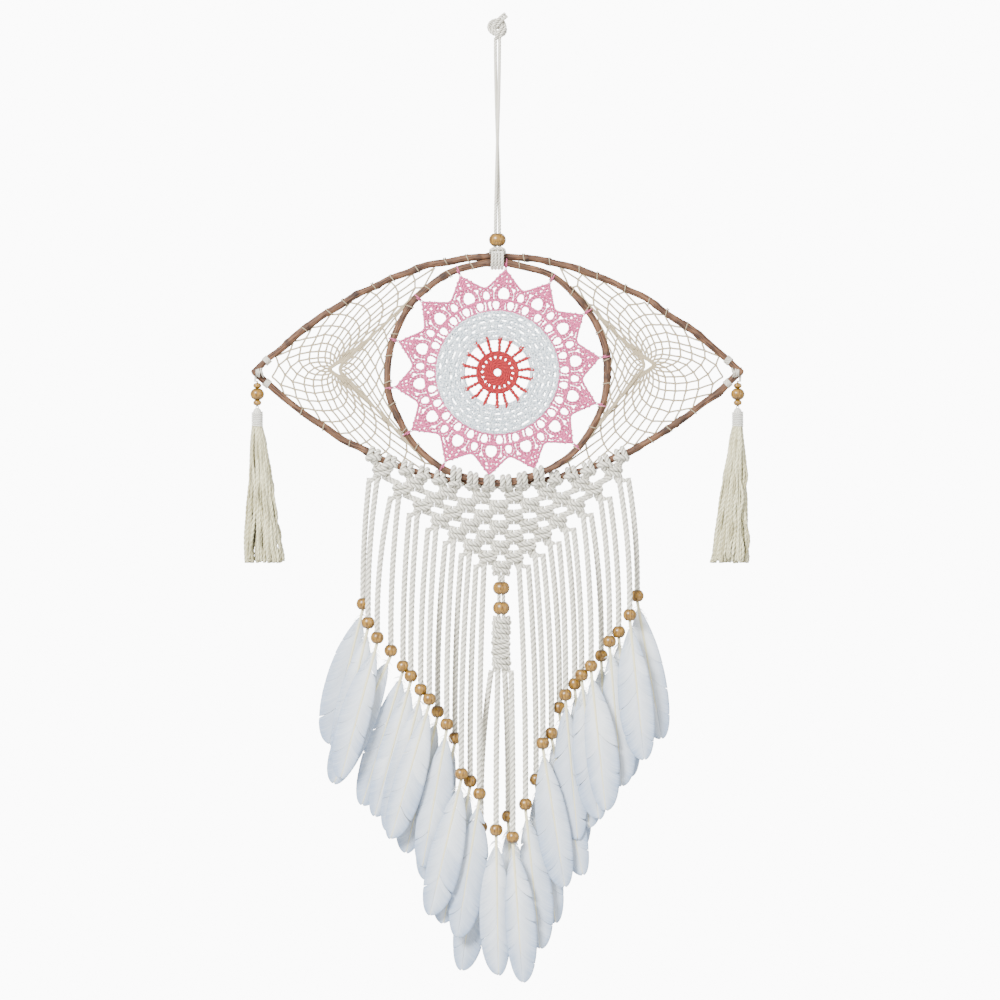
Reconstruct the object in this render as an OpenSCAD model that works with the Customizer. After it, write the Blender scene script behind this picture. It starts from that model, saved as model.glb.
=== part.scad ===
// Eye-shaped dream catcher: a hanging cord, a frame of three vine stems with two nets and a
// crocheted doily, a macrame panel, and a fringe of cords with wooden beads and feathers.
// Origin at the hanging point under the top knot, +Z up, front towards -Y.

/* [Eye frame] */
// Half of the frame's width, from the middle to the crossing of the ribs
half_span = 180; // [150:1:216]
// Height of the upper rib above the ends of the ribs
upper_rise = 86.4; // [72:0.1:104]
// How far the lower rib's ends lie below the upper rib's, where they cross
tip_drop = 0.4; // [0:0.1:1]
// Diameter of a vine stem
stem_d = 5.2; // [4:0.1:6.3]
// Radius of the inner hoop, to the middle of its stem
hoop_r = 82.3; // [70:0.1:84]
// Gap between stems that cross or lie side by side
stem_gap = 0.1; // [0.05:0.01:0.3]

/* [Hanging] */
// Length of the hanging cord, from the hanging point to the hitch
hang_l = 156; // [130:1:190]
// Diameter of one strand of the hanging cord
hang_d = 2.8; // [2:0.1:3.3]
// Diameter of the knot at the top
knot_d = 14; // [11:0.5:17]
// Height of the knot at the top
knot_h = 15; // [12:0.5:18]
// Diameter of the hanging bead
hang_bead_d = 12.8; // [10.5:0.1:15.5]
// Height of the hanging bead
hang_bead_h = 9.4; // [8:0.1:11.3]
// Thickness of the hitch's cord
hitch_d = 2.6; // [2.2:0.1:3.1]

/* [Doily and nets] */
// Radius of the red centre
centre_r = 25.5; // [21:0.5:30]
// Radius of the pale ring
ring_r = 45; // [40:0.5:52]
// Depth of the valleys between the border's points
valley_depth = 13.4; // [11:0.1:16]
// Number of points on the border
border_points = 14; // [10:1:18]
// Thickness of the doily
doily_t = 1.2; // [0.8:0.1:2]
// Thickness of the nets
net_t = 1; // [0.8:0.1:1.6]
// Distance from the middle at which each net begins
net_start = 34; // [30:1:60]

/* [Macrame] */
// Cords' width in each wrap of a lark's head
head_w = 4.4; // [3.6:0.1:4.6]
// Thickness of a wrap round the rib
wrap_t = 1.6; // [1.2:0.1:1.9]
// Distance between the knots of the first row
knot_pitch = 24.8; // [22:0.1:26]
// How much closer the knots are in each row than in the row above
pitch_step = 0.9; // [0.5:0.1:1.1]
// Distance between rows
row_pitch = 7.6; // [7:0.1:8.2]
// Thickness of the panel
panel_t = 5; // [4:0.1:6]
// Width of the square-knot sennit
sennit_w = 14.2; // [12:0.1:17]
// Length of the sennit's braid
sennit_l = 38; // [34:0.5:40]
// Diameter of the two beads on the sennit
sennit_bead_d = 12.6; // [10.5:0.1:14]
// Height of the two beads on the sennit
sennit_bead_h = 9.4; // [8:0.1:10]

/* [Fringe] */
// Diameter of a fringe cord
cord_d = 4.6; // [3.8:0.1:4.7]
// Diameter of a fringe bead
bead_d = 10; // [8.5:0.1:10.2]
// Height of a fringe bead
bead_h = 8.6; // [7.2:0.1:9]
// Radial gap between a cord and the bead it passes through
bead_fit = 0.1; // [0.05:0.05:0.3]
// Length of a feather's vane
vane_l = 96; // [80:1:115]
// Width of a feather's vane
vane_w = 33; // [27:0.5:34]
// Thickness of a feather's vane
vane_t = 0.8; // [0.6:0.1:1]
// Diameter of a feather's shaft
shaft_d = 1.8; // [1.4:0.1:2.2]

/* [Tassels] */
// Diameter of the round bead above a tassel
tassel_bead_d = 10.4; // [9:0.1:12.4]
// Diameter of the small beads above and below it
small_bead_d = 6.2; // [5.2:0.1:7.4]
// Diameter of the bound head of a tassel
binding_d = 8.3; // [7:0.1:10]
// Length of the bound head of a tassel
binding_l = 14.4; // [12:0.1:17]
// Length of a tassel's skirt
skirt_l = 102; // [85:1:122]
// Width of the skirt at its lower end
skirt_w = 31; // [26:0.5:37]
// Depth of the skirt at its lower end
skirt_deep = 20; // [16:0.5:24]

/* [Hidden] */
$fn = 48;
pairs = 8;
SIDES = [["left", -1], ["right", 1]];

stem_r = stem_d / 2;
wrap_fit = 0.1;                      // gap between a stem and what is wrapped round it
near = 0.1;                          // gap between pieces that all but touch
join = 0.2;                          // overlap that joins two shapes of one solid
side_by_side = stem_d + stem_gap;    // distance between the middles of two touching stems

// The frame, seen from the front: the hitch's ring hangs from the cord, the upper rib and the
// top of the hoop lie in the ring, and the lower rib lies behind the bottom of the hoop.
rib_over_hoop = 4.7;                 // upper rib above the hoop's top, at the middle
rib_under_hoop = 1.7;                // lower rib below the hoop's bottom, at the middle
upper_back = sqrt(pow(side_by_side, 2) - pow(rib_over_hoop, 2));
lower_back = sqrt(pow(side_by_side, 2) - pow(rib_under_hoop, 2)) + stem_gap;
ring_in = side_by_side / 2 + stem_r + wrap_fit;
ring_out = ring_in + hitch_d;
hitch_neck = 1.9;                    // from the ring's top to the hitch's upper face
ring_z = -hang_l - hitch_neck - ring_out;
hoop_top = ring_z - rib_over_hoop / 2;
eye_z = hoop_top - hoop_r;
upper_z = hoop_top + rib_over_hoop;
lower_z = eye_z - hoop_r - rib_under_hoop;
lower_sag = upper_z - upper_rise - tip_drop - lower_z;

// Height and slope of each rib at a distance x from the middle, and its depth
function upper_rib_z(x) = upper_z - upper_rise * pow(x / half_span, 2);
function lower_rib_z(x) = lower_z + lower_sag * pow(x / half_span, 2);
function upper_rib_y(x) = upper_back + (lower_back - side_by_side - upper_back) * pow(x / half_span, 2);
function upper_slope(x) = -2 * upper_rise * x / pow(half_span, 2);
function lower_slope(x) = 2 * lower_sag * x / pow(half_span, 2);
function steep(s) = sqrt(1 + s * s);

// A tube of n sides swept along points: rings square to the path, joined and closed
function unit(v) = v / norm(v);
function path_dir(p, i) = unit(p[min(i + 1, len(p) - 1)] - p[max(i - 1, 0)]);
function ring_at(p, i, r, n) =
    let (d = path_dir(p, i), u = unit(cross(d, [0, 1, 0])), v = cross(u, d))
    [for (k = [0:n - 1]) p[i] + r * (cos(360 * k / n) * u + sin(360 * k / n) * v)];
module sweep(p, r, n = 8) {
    rings = len(p);
    polyhedron(
        points = [for (i = [0:rings - 1]) each ring_at(p, i, r, n)],
        faces = concat(
            [[for (k = [0:n - 1]) k]],
            [for (i = [0:rings - 2]) for (k = [0:n - 1])
                [i * n + k, (i + 1) * n + k, (i + 1) * n + (k + 1) % n, i * n + (k + 1) % n]],
            [[for (k = [n - 1:-1:0]) (rings - 1) * n + k]]),
        convexity = 10);
}

// A barrel with a rounded side, and a bore unless that is 0: the shape of every bead
module bead(d, h, bore) {
    side_r = h / 2 + near;
    rotate_extrude()
        difference() {
            union() {
                translate([0, -h / 2]) square([d / 2 - side_r, h]);
                intersection() {
                    translate([d / 2 - side_r, 0]) circle(side_r);
                    translate([0, -h / 2]) square([d / 2, h]);
                }
            }
            if (bore > 0)
                translate([-bore / 2, -h]) square([bore, 2 * h]);
        }
}

// ---- hanging cord, knot, bead and hitch ----
strand_gap = 0.2;                    // between the two strands
strand_off = (hang_d + strand_gap) / 2;
cord_rings = 22;
module hanging_cord() {
    color("ivory")
        for (s = [-1, 1])
            sweep([for (i = [0:cord_rings])
                [s * strand_off * cos(180 * i / cord_rings), s * strand_off * sin(180 * i / cord_rings),
                 -(hang_l - near) * i / cord_rings]], hang_d / 2);
}
module hanging_knot() {
    color("ivory")
        translate([0, 0, knot_h / 2 + near])
            bead(knot_d, knot_h, 0);
}
hang_bead_bore = 2 * (strand_off + hang_d / 2 + 0.2);
module hanging_bead() {
    color("peru")
        translate([0, 0, -hang_l + near + hang_bead_h / 2])
            bead(hang_bead_d, hang_bead_h, hang_bead_bore);
}
module cord_hitch() {
    color("ivory")
        union() {
            for (s = [-1, 1])
                translate([s * (hitch_d / 2 + near), upper_back / 2, ring_z])
                    rotate([0, 90, 0])
                        rotate_extrude()
                            translate([ring_in + hitch_d / 2, 0]) circle(hitch_d / 2);
            translate([0, upper_back / 2, -hang_l - hitch_neck - hitch_d / 2])
                cylinder(h = hitch_neck + hitch_d / 2, r = strand_off + hang_d / 2);
        }
}

// ---- eye frame ----
rib_rings = 32;
module upper_rib() {
    color("sienna")
        sweep([for (i = [0:rib_rings]) let (x = (half_span + 1.5) * (2 * i / rib_rings - 1))
            [x, upper_rib_y(x), upper_rib_z(x)]], stem_r, 12);
}
module lower_rib() {
    color("sienna")
        sweep([for (i = [0:rib_rings]) let (x = (half_span - 1.5) * (2 * i / rib_rings - 1))
            [x, lower_back, lower_rib_z(x)]], stem_r, 12);
}
module inner_hoop() {
    color("sienna")
        translate([0, 0, eye_z])
            rotate([90, 0, 0])
                rotate_extrude($fn = 96)
                    translate([hoop_r, 0]) circle(stem_r);
}
// A wrap round a stem that runs along X and may slope
module wrap(x, y, z, slope, w, t) {
    translate([x, y, z])
        rotate([0, -atan(slope), 0])
            rotate([0, 90, 0])
                difference() {
                    cylinder(h = w, r = stem_r + wrap_fit + t, center = true);
                    cylinder(h = w + 1, r = stem_r + wrap_fit, center = true);
                }
}
lash_x = half_span - 9;
lash_w = 5;
lash_t = 1;
module tip_lashing(side) {
    color("ivory") {
        wrap(side * lash_x, upper_rib_y(lash_x), upper_rib_z(lash_x), upper_slope(side * lash_x), lash_w, lash_t);
        wrap(side * lash_x, lower_back, lower_rib_z(lash_x), lower_slope(side * lash_x), lash_w, lash_t);
    }
}

// ---- nets and doily ----
net_clear = stem_r + near;
net_steps = 16;
net_end = half_span - 16;
module web(side) {
    xs = [for (i = [0:net_steps]) net_start + (net_end - net_start) * i / net_steps];
    color("tan")
        translate([0, net_t / 2, 0])
            rotate([90, 0, 0])
                linear_extrude(net_t)
                    difference() {
                        polygon(concat(
                            [for (x = xs) [side * x, upper_rib_z(x) - net_clear * steep(upper_slope(x))]],
                            [for (i = [net_steps:-1:0]) let (x = xs[i])
                                [side * x, lower_rib_z(x) + net_clear * steep(lower_slope(x))]]));
                        translate([0, eye_z]) circle(hoop_r + net_clear, $fn = 96);
                    }
}
eyelet_r = 3;
tie_t = wrap_t;
tip_r = hoop_r - stem_r - wrap_fit - tie_t - near;
valley_r = tip_r - valley_depth;
tip_angle = 85.4;
module flat_ring(r_out, r_in, t) {
    translate([0, t / 2, eye_z])
        rotate([90, 0, 0])
            linear_extrude(t)
                difference() {
                    circle(r_out, $fn = 96);
                    circle(r_in, $fn = 96);
                }
}
module doily_centre() {
    color("crimson") flat_ring(centre_r, eyelet_r, doily_t);
}
module doily_ring() {
    color("lightsteelblue") flat_ring(ring_r, centre_r, doily_t);
}
// Half a point's outline, from valley to tip, is three short straight runs that curve inward
point_steps = 3;
module doily_border() {
    step_a = 360 / border_points;
    outline = [for (n = [0:border_points - 1]) for (k = [-point_steps:point_steps - 1])
        let (a = tip_angle + n * step_a + k * step_a / 2 / point_steps,
             r = valley_r + (tip_r - valley_r) * pow(1 - abs(k) / point_steps, 1.4))
        r * [cos(a), sin(a)]];
    color("pink")
        translate([0, doily_t / 2, eye_z])
            rotate([90, 0, 0])
                linear_extrude(doily_t)
                    difference() {
                        polygon(outline);
                        circle(ring_r, $fn = 96);
                    }
}
tie_w = 2;
// Each point of the border is tied round the inner half of the hoop, except at the bottom, where
// lark's heads hold hoop and rib together
module doily_ties() {
    tie_r = stem_r + wrap_fit + tie_t;
    color("ivory")
        for (n = [0:border_points - 1]) {
            a = tip_angle + n * 360 / border_points;
            if (sin(a) > 0 || abs(hoop_r * cos(a)) > both_wrapped + tie_w)
                translate([0, 0, eye_z])
                    rotate([0, -a, 0])
                        translate([hoop_r, 0, 0])
                            difference() {
                                cylinder(h = tie_w, r = tie_r, center = true);
                                cylinder(h = tie_w + 1, r = stem_r + wrap_fit, center = true);
                                translate([0, -tie_r, -tie_w]) cube(2 * tie_r);
                            }
        }
}

// ---- macrame ----
heads = 16;
head_pitch = knot_pitch / 2;
both_wrapped = 34;                   // nearer the middle than this, a head holds rib and hoop
slack = 0.5;                         // how much looser a wrap round both stems lies
function head_x(n) = (n - (heads - 1) / 2) * head_pitch;
module double_wrap(x, w) {
    up = eye_z - sqrt(pow(hoop_r, 2) - x * x) - lower_rib_z(x);
    reach = norm([up, lower_back]);
    middle_slope = (lower_slope(x) + x / sqrt(pow(hoop_r, 2) - x * x)) / 2;
    translate([x, lower_back, lower_rib_z(x)])
        rotate([0, -atan(middle_slope), 0])
            rotate([atan2(lower_back, up), 0, 0])
                rotate([0, 90, 0])
                    translate([0, 0, -w / 2])
                        linear_extrude(w)
                            difference() {
                                racetrack(reach, stem_r + wrap_fit + wrap_t);
                                racetrack(reach, stem_r + wrap_fit + slack);
                            }
}
module racetrack(reach, r) {
    circle(r);
    translate([-reach, 0]) circle(r);
    translate([-reach, -r]) square([reach, 2 * r]);
}
module larks_heads() {
    color("ivory")
        for (n = [0:heads - 1]) for (s = [-1, 1]) {
            x = head_x(n) + s * (head_w + near) / 2;
            if (abs(head_x(n)) < both_wrapped) double_wrap(x, head_w);
            else wrap(x, lower_back, lower_rib_z(x), lower_slope(x), head_w, wrap_t);
        }
}
rows = 8;
panel_top = stem_r + wrap_fit + wrap_t + near;
knot_half = 4.2;                     // half of a knot's height
first_knot = panel_top + 5;          // from the rib down to the first row of knots
first_shoulder = 9.4;                // how far the first row reaches outside its last knot
shoulder = 12.4;                     // the same for the other rows, less shoulder_step a row
shoulder_step = 0.8;
function row_half(j) = (rows - 1 - j) / 2 * (knot_pitch - pitch_step * j);
function step_z(j) = lower_rib_z(row_half(j)) - first_knot - row_pitch * j - knot_half;
function row_edge(j) = row_half(j) + (j == 0 ? first_shoulder : shoulder - shoulder_step * j);
apex_z = step_z(rows - 1);
edge_steps = 24;
hole_w = 9;
hole_h = 5;
module macrame_panel() {
    right_edge = [for (j = [0:rows - 1]) each
        [[row_edge(j), j == 0 ? step_z(0) + knot_half : step_z(j - 1)], [row_edge(j), step_z(j)]]];
    left_edge = [for (i = [len(right_edge) - 1:-1:0]) [-right_edge[i][0], right_edge[i][1]]];
    top_edge = [for (i = [0:edge_steps]) let (x = row_edge(0) * (2 * i / edge_steps - 1))
        [x, lower_rib_z(x) - panel_top * steep(lower_slope(x))]];
    color("ivory")
        translate([0, lower_back + panel_t / 2, 0])
            rotate([90, 0, 0])
                linear_extrude(panel_t)
                    difference() {
                        polygon(concat(top_edge, right_edge, left_edge));
                        for (j = [0:rows - 2]) for (i = [0:rows - 2 - j]) {
                            x = (i - (rows - 2 - j) / 2) * (knot_pitch - pitch_step * j);
                            translate([x, lower_rib_z(x) - first_knot - row_pitch * j])
                                polygon([[-hole_w / 2, 0], [0, hole_h / 2], [hole_w / 2, 0], [0, -hole_h / 2]]);
                        }
                    }
}

// ---- sennit under the panel's lowest knot ----
sennit_x = 2.8;
core_r = 2.8;
core_fit = 0.1;
sennit_top = apex_z - 1;
upper_bead_z = apex_z - 10.7;
lower_bead_z = upper_bead_z - 15;
braid_top = lower_bead_z - 8;
braid_bottom = braid_top - sennit_l;
module sennit_bead(z) {
    color("peru")
        translate([sennit_x, lower_back, z])
            bead(sennit_bead_d, sennit_bead_h, 2 * (core_r + core_fit));
}
module sennit_braid() {
    color("ivory")
        union() {
            translate([sennit_x, lower_back, braid_top - join])
                cylinder(h = sennit_top - braid_top + join, r = core_r);
            translate([sennit_x - sennit_w / 2, lower_back - panel_t / 2, braid_bottom])
                cube([sennit_w, panel_t, sennit_l]);
        }
}

// ---- fringe ----
// Height at which each pair of cords leaves the panel, and the last four the sennit
PAIR_Z = [-329.6, -343.4, -355.8, -366.8, -376.9, -386, -394.5, -474];
// Each cord: where it starts along X, its bead's X, Y and Z, and the feather's lean in degrees
DROPS = [
    [[-96, -101, 11, -424, -14], [-90, -97, 3, -438, -13], [98, 105, 11, -418, 10], [91, 99, -1, -432, 6]],
    [[-80, -90, -1, -449, -15], [-74, -80, 7, -459, -24], [84, 91, 7, -445, 5], [77, 84, 3, -452, 5]],
    [[-66, -71, 11, -471, -17], [-60, -65, 7, -478, -15], [70, 78, 11, -463, 3], [64, 70, -4.5, -470, 6]],
    [[-52, -57.5, 3, -488, -14], [-46, -51, -1, -495, -16], [57, 63, -1, -477, 7], [51, 58, 7.5, -484, 6]],
    [[-39, -45, 11, -505, -13], [-33, -38, 3, -514, -10], [46, 51, 3, -492, 5], [39, 46.5, 11, -502, 8]],
    [[-27, -32, 13.5, -525, -12], [-21, -27, -1, -551, -13], [34, 40.5, 5.1, -521, 13], [28, 34, -1, -528, 9]],
    [[-16, -20.5, 7, -557, -11], [-10, -13.5, 3, -566, -9], [23, 29, 11, -556, 8], [16, 21, 3, -574, 6]],
    [[-4.7, -12.4, 15, -592, -8], [0.3, -1, -1, -593, 1], [5.3, 8, 15, -584, 3], [10.3, 11.5, -5, -598, 4]]];
straight = 0.85;                     // share of a cord's height in which it spreads
hang_steps = 10;
into_bead = 3.5;                     // how far below the bead's middle the cord ends
function drop_path(c, top) = [for (i = [0:hang_steps])
    let (t = i / hang_steps, u = min(t / straight, 1), e = u * (2 - u))
    [c[0] + (c[1] - c[0]) * e,
     lower_back + (c[2] - lower_back) * e,
     top + (c[3] - into_bead - top) * t]];
module drop_cords(k) {
    color("ivory")
        for (c = DROPS[k - 1]) sweep(drop_path(c, PAIR_Z[k - 1]), cord_d / 2);
}
module drop_beads(k) {
    color("peru")
        for (c = DROPS[k - 1])
            translate([c[1], c[2], c[3]])
                bead(bead_d, bead_h, cord_d + 2 * bead_fit);
}
vane_steps = 14;
quill_l = 10;
function vane_half(t) = vane_w / 2 * (1 - pow(1 - t, 2.6)) * sqrt(1 - pow(t, 5));
module feather() {
    translate([0, 0, -quill_l - near]) cylinder(h = quill_l, r = shaft_d / 2, $fn = 24);
    translate([0, vane_t / 2, -quill_l + join])
        rotate([90, 0, 0])
            linear_extrude(vane_t)
                polygon(concat(
                    [[shaft_d / 2, 0]],
                    [for (i = [1:vane_steps - 1]) let (t = i / vane_steps) [vane_half(t), -vane_l * t]],
                    [[0, -vane_l]],
                    [for (i = [vane_steps - 1:-1:1]) let (t = i / vane_steps) [-vane_half(t), -vane_l * t]],
                    [[-shaft_d / 2, 0]]));
}
module drop_feathers(k) {
    color("white")
        for (c = DROPS[k - 1])
            translate([c[1], c[2], c[3] - into_bead - near])
                rotate([0, -c[4], 0])
                    feather();
}

// ---- tassels ----
tassel_y = lower_back / 2;
thread_r = 0.9;
thread_fit = 0.1;
small_bead_h = 4;
round_bead_h = 8.6;
tassel_top = lower_rib_z(half_span) - stem_r * 2 - 1.2;
upper_bead_c = tassel_top - 1.6 - small_bead_h / 2;
round_bead_c = upper_bead_c - small_bead_h / 2 - near - round_bead_h / 2;
lower_bead_c = round_bead_c - round_bead_h / 2 - near - small_bead_h / 2;
thread_end = lower_bead_c - small_bead_h / 2 - 1;
swing_gap = 0.7;                     // between the thread's end and the binding's top, which swings
module tassel_cord(side) {
    color("ivory")
        translate([side * half_span, tassel_y, thread_end])
            cylinder(h = tassel_top - thread_end, r = thread_r);
}
module tassel_bead(side, d, h, z) {
    color("peru")
        translate([side * half_span, tassel_y, z])
            bead(d, h, 2 * (thread_r + thread_fit));
}
head_r = binding_d / 2;
binding_bottom = thread_end - swing_gap - binding_l;
module tassel_binding(side) {
    color("ivory")
        translate([side * half_span, tassel_y, 0])
            union() {
                translate([0, 0, binding_bottom])
                    cylinder(h = binding_l - head_r, r = head_r);
                translate([0, 0, binding_bottom + binding_l - head_r])
                    sphere(head_r);
            }
}
skirt_lean = 5.5;                    // how far the skirt's end flares towards the middle
skirt_top_w = 12;
module tassel_skirt(side) {
    end_z = binding_bottom - skirt_l;
    color("lemonchiffon")
        translate([side * half_span, tassel_y, 0])
            hull() {
                translate([0, 0, binding_bottom - 2]) cylinder(h = 2, r = skirt_top_w / 2, $fn = 32);
                for (s = [-1, 1])
                    translate([-side * skirt_lean + s * (skirt_w - skirt_deep) / 2, 0, end_z])
                        cylinder(h = 2, r = skirt_deep / 2, $fn = 32);
            }
}

hanging_cord();
hanging_knot();
hanging_bead();
cord_hitch();
upper_rib();
lower_rib();
inner_hoop();
doily_centre();
doily_ring();
doily_border();
doily_ties();
larks_heads();
macrame_panel();
sennit_bead(upper_bead_z);  // sennit_upper_bead
sennit_bead(lower_bead_z);  // sennit_lower_bead
sennit_braid();
for (s = SIDES) {
    tip_lashing(s[1]);
    web(s[1]);
    tassel_cord(s[1]);
    tassel_bead(s[1], small_bead_d, small_bead_h, upper_bead_c);
    tassel_bead(s[1], tassel_bead_d, round_bead_h, round_bead_c);
    tassel_bead(s[1], small_bead_d, small_bead_h, lower_bead_c);
    tassel_binding(s[1]);
    tassel_skirt(s[1]);
}
for (k = [1:pairs]) {
    drop_cords(k);
    drop_beads(k);
    drop_feathers(k);
}
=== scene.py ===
# Eye-shaped dream catcher, built piece by piece in the order in which it is put together.
# Metres, +Z up along the hanging cord, front towards -Y, origin at the hanging point.
import bpy
import math
import numpy as np
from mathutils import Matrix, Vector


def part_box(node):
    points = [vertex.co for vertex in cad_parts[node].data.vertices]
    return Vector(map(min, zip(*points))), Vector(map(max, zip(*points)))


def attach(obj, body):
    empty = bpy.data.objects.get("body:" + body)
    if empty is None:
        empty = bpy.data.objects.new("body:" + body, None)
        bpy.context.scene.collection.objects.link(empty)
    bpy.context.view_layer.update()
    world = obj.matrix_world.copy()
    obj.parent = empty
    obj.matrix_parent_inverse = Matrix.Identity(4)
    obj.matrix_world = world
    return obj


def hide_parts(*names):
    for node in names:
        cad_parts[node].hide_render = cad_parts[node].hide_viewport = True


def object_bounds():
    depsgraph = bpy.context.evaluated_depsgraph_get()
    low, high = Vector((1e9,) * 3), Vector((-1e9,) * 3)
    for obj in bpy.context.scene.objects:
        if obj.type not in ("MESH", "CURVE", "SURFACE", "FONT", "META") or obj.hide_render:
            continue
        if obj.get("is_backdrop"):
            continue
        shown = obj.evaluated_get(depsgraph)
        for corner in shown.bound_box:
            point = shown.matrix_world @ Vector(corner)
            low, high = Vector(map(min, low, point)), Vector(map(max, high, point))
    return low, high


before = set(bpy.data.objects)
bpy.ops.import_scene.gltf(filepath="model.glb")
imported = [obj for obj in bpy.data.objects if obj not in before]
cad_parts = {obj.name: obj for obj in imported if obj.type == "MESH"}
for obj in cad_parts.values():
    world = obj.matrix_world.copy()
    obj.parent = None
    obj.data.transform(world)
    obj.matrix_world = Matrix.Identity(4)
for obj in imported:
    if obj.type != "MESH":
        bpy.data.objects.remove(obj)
cad_low, cad_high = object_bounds()
MM = 0.001
FRONT = np.array([0.0, -1.0, 0.0])
ACROSS = np.array([1.0, 0.0, 0.0])


# ---- Place to hang it: camera, pale floor and studio light ----
# The object hangs free in a plain white room, seen square on from the front through a long lens.
# The floor is small and lies well below, so that it only catches light.
VIEW_WIDTH = 0.75
CAMERA_AWAY = 3.0
AIM_RIGHT = 0.0019
FLOOR_DROP = 0.55
FLOOR_SIZE = 2.6


def hang_camera():
    """A long-lens camera in front of the middle of the object's box, level and square on."""
    middle = (np.array(cad_low) + np.array(cad_high)) / 2
    lens = bpy.data.cameras.new("camera")
    lens.sensor_width = 36
    lens.lens = 36 * CAMERA_AWAY / VIEW_WIDTH
    camera = bpy.data.objects.new("camera", lens)
    camera.location = (middle[0] + AIM_RIGHT, middle[1] - CAMERA_AWAY, middle[2])
    camera.rotation_euler = (math.pi / 2, 0, 0)
    bpy.context.collection.objects.link(camera)
    bpy.context.scene.camera = camera


def area_light(name, place, size, power, aim):
    """A square soft box at place that shines at aim."""
    lamp = bpy.data.lights.new(name, "AREA")
    lamp.size = size
    lamp.energy = power
    light = bpy.data.objects.new(name, lamp)
    light.location = place
    way = np.array(aim) - np.array(place)
    light.rotation_euler = (math.atan2(math.hypot(way[0], way[1]), -way[2]), 0, math.atan2(-way[0], way[1]))
    bpy.context.collection.objects.link(light)


def white_room(seen, lit):
    """A white surround: bright where the camera looks past the object, softer as a light."""
    world = bpy.data.worlds.new("white_room")
    bpy.context.scene.world = world
    world.use_nodes = True
    nodes, links = world.node_tree.nodes, world.node_tree.links
    background = nodes["Background"]
    background.inputs["Color"].default_value = (1, 1, 1, 1)
    path = nodes.new("ShaderNodeLightPath")
    strength = nodes.new("ShaderNodeMapRange")
    strength.inputs["To Min"].default_value = lit
    strength.inputs["To Max"].default_value = seen
    links.new(path.outputs["Is Camera Ray"], strength.inputs["Value"])
    links.new(strength.outputs["Result"], background.inputs["Strength"])


hang_camera()
white_room(seen=11.0, lit=0.95)
area_light("key", (-1.6, -2.6, 1.3), 1.0, 300, (0, 0, -0.35))
area_light("fill", (2.2, -1.8, 0.2), 1.6, 36, (0, 0, -0.35))
area_light("back", (0.6, 2.4, 1.2), 1.6, 20, (0, 0, -0.35))

floor_mesh = bpy.data.meshes.new("floor")
floor_z = cad_low[2] - FLOOR_DROP
half = FLOOR_SIZE / 2
floor_mesh.from_pydata([(-half, -half, floor_z), (half, -half, floor_z), (half, half, floor_z),
                        (-half, half, floor_z)],
                       [], [(0, 1, 2, 3)])
floor = bpy.data.objects.new("floor", floor_mesh)
bpy.context.collection.objects.link(floor)
floor_paint = bpy.data.materials.new("pale_floor")
floor_paint.use_nodes = True
floor_paint.node_tree.nodes["Principled BSDF"].inputs["Base Color"].default_value = (0.8, 0.8, 0.79, 1)
floor_paint.node_tree.nodes["Principled BSDF"].inputs["Roughness"].default_value = 0.8
floor_mesh.materials.append(floor_paint)
floor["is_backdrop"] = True


# ---- Hanging cord: two twisted cotton strands, knotted at the top ----
# One length of cord is doubled over the frame's hitch. Its two strands run up through the hanging
# bead, turn half round each other and end in an overhand knot with a short tail.
def unit(vectors):
    """Each vector divided by its length."""
    return vectors / np.maximum(np.linalg.norm(vectors, axis=-1, keepdims=True), 1e-12)


def smooth_through(points, count, closed=False):
    """Curves through control points: between two points p1 and p2 the cubic that leaves p1 along
    p2 - p0 and reaches p2 along p3 - p1. points is (..., k, 3); gives (..., count, 3)."""
    points = np.asarray(points, float)
    if closed:
        ring = np.concatenate([points[..., -1:, :], points, points[..., :2, :]], axis=-2)
        spans = points.shape[-2]
    else:
        first = 2 * points[..., :1, :] - points[..., 1:2, :]
        last = 2 * points[..., -1:, :] - points[..., -2:-1, :]
        ring = np.concatenate([first, points, last], axis=-2)
        spans = points.shape[-2] - 1
    t = np.linspace(0, spans, count, endpoint=not closed)
    at = np.minimum(t.astype(int), spans - 1)
    t = (t - at)[:, None]
    p0, p1, p2, p3 = (ring[..., at + k, :] for k in range(4))
    return 0.5 * (2 * p1 + (p2 - p0) * t + (2 * p0 - 5 * p1 + 4 * p2 - p3) * t ** 2
                  + (3 * p1 - p0 - 3 * p2 + p3) * t ** 3)


def skin(rings, closed=False):
    """A surface over rings of points (m, n, sides, 3): quads from each ring to the next, and a fan
    to the middle of the first and last ring, unless the last ring meets the first."""
    m, n, sides, _ = rings.shape
    grid = np.arange(m * n * sides).reshape(m, n, sides)
    low, high = (grid, np.roll(grid, -1, axis=1)) if closed else (grid[:, :-1], grid[:, 1:])
    quads = np.stack([low, np.roll(low, -1, axis=2), np.roll(high, -1, axis=2), high],
                     axis=-1).reshape(-1, 4)
    if closed:
        return {"places": rings.reshape(-1, 3), "faces": [quads]}
    poles = m * n * sides + np.arange(2 * m).reshape(m, 2)
    start = np.stack([np.roll(grid[:, 0], -1, axis=1), grid[:, 0],
                      np.broadcast_to(poles[:, :1], (m, sides))], axis=-1).reshape(-1, 3)
    end = np.stack([grid[:, -1], np.roll(grid[:, -1], -1, axis=1),
                    np.broadcast_to(poles[:, 1:], (m, sides))], axis=-1).reshape(-1, 3)
    tips = np.stack([rings[:, 0].mean(axis=1), rings[:, -1].mean(axis=1)], axis=1).reshape(-1, 3)
    return {"places": np.concatenate([rings.reshape(-1, 3), tips]), "faces": [quads, start, end]}


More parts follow.
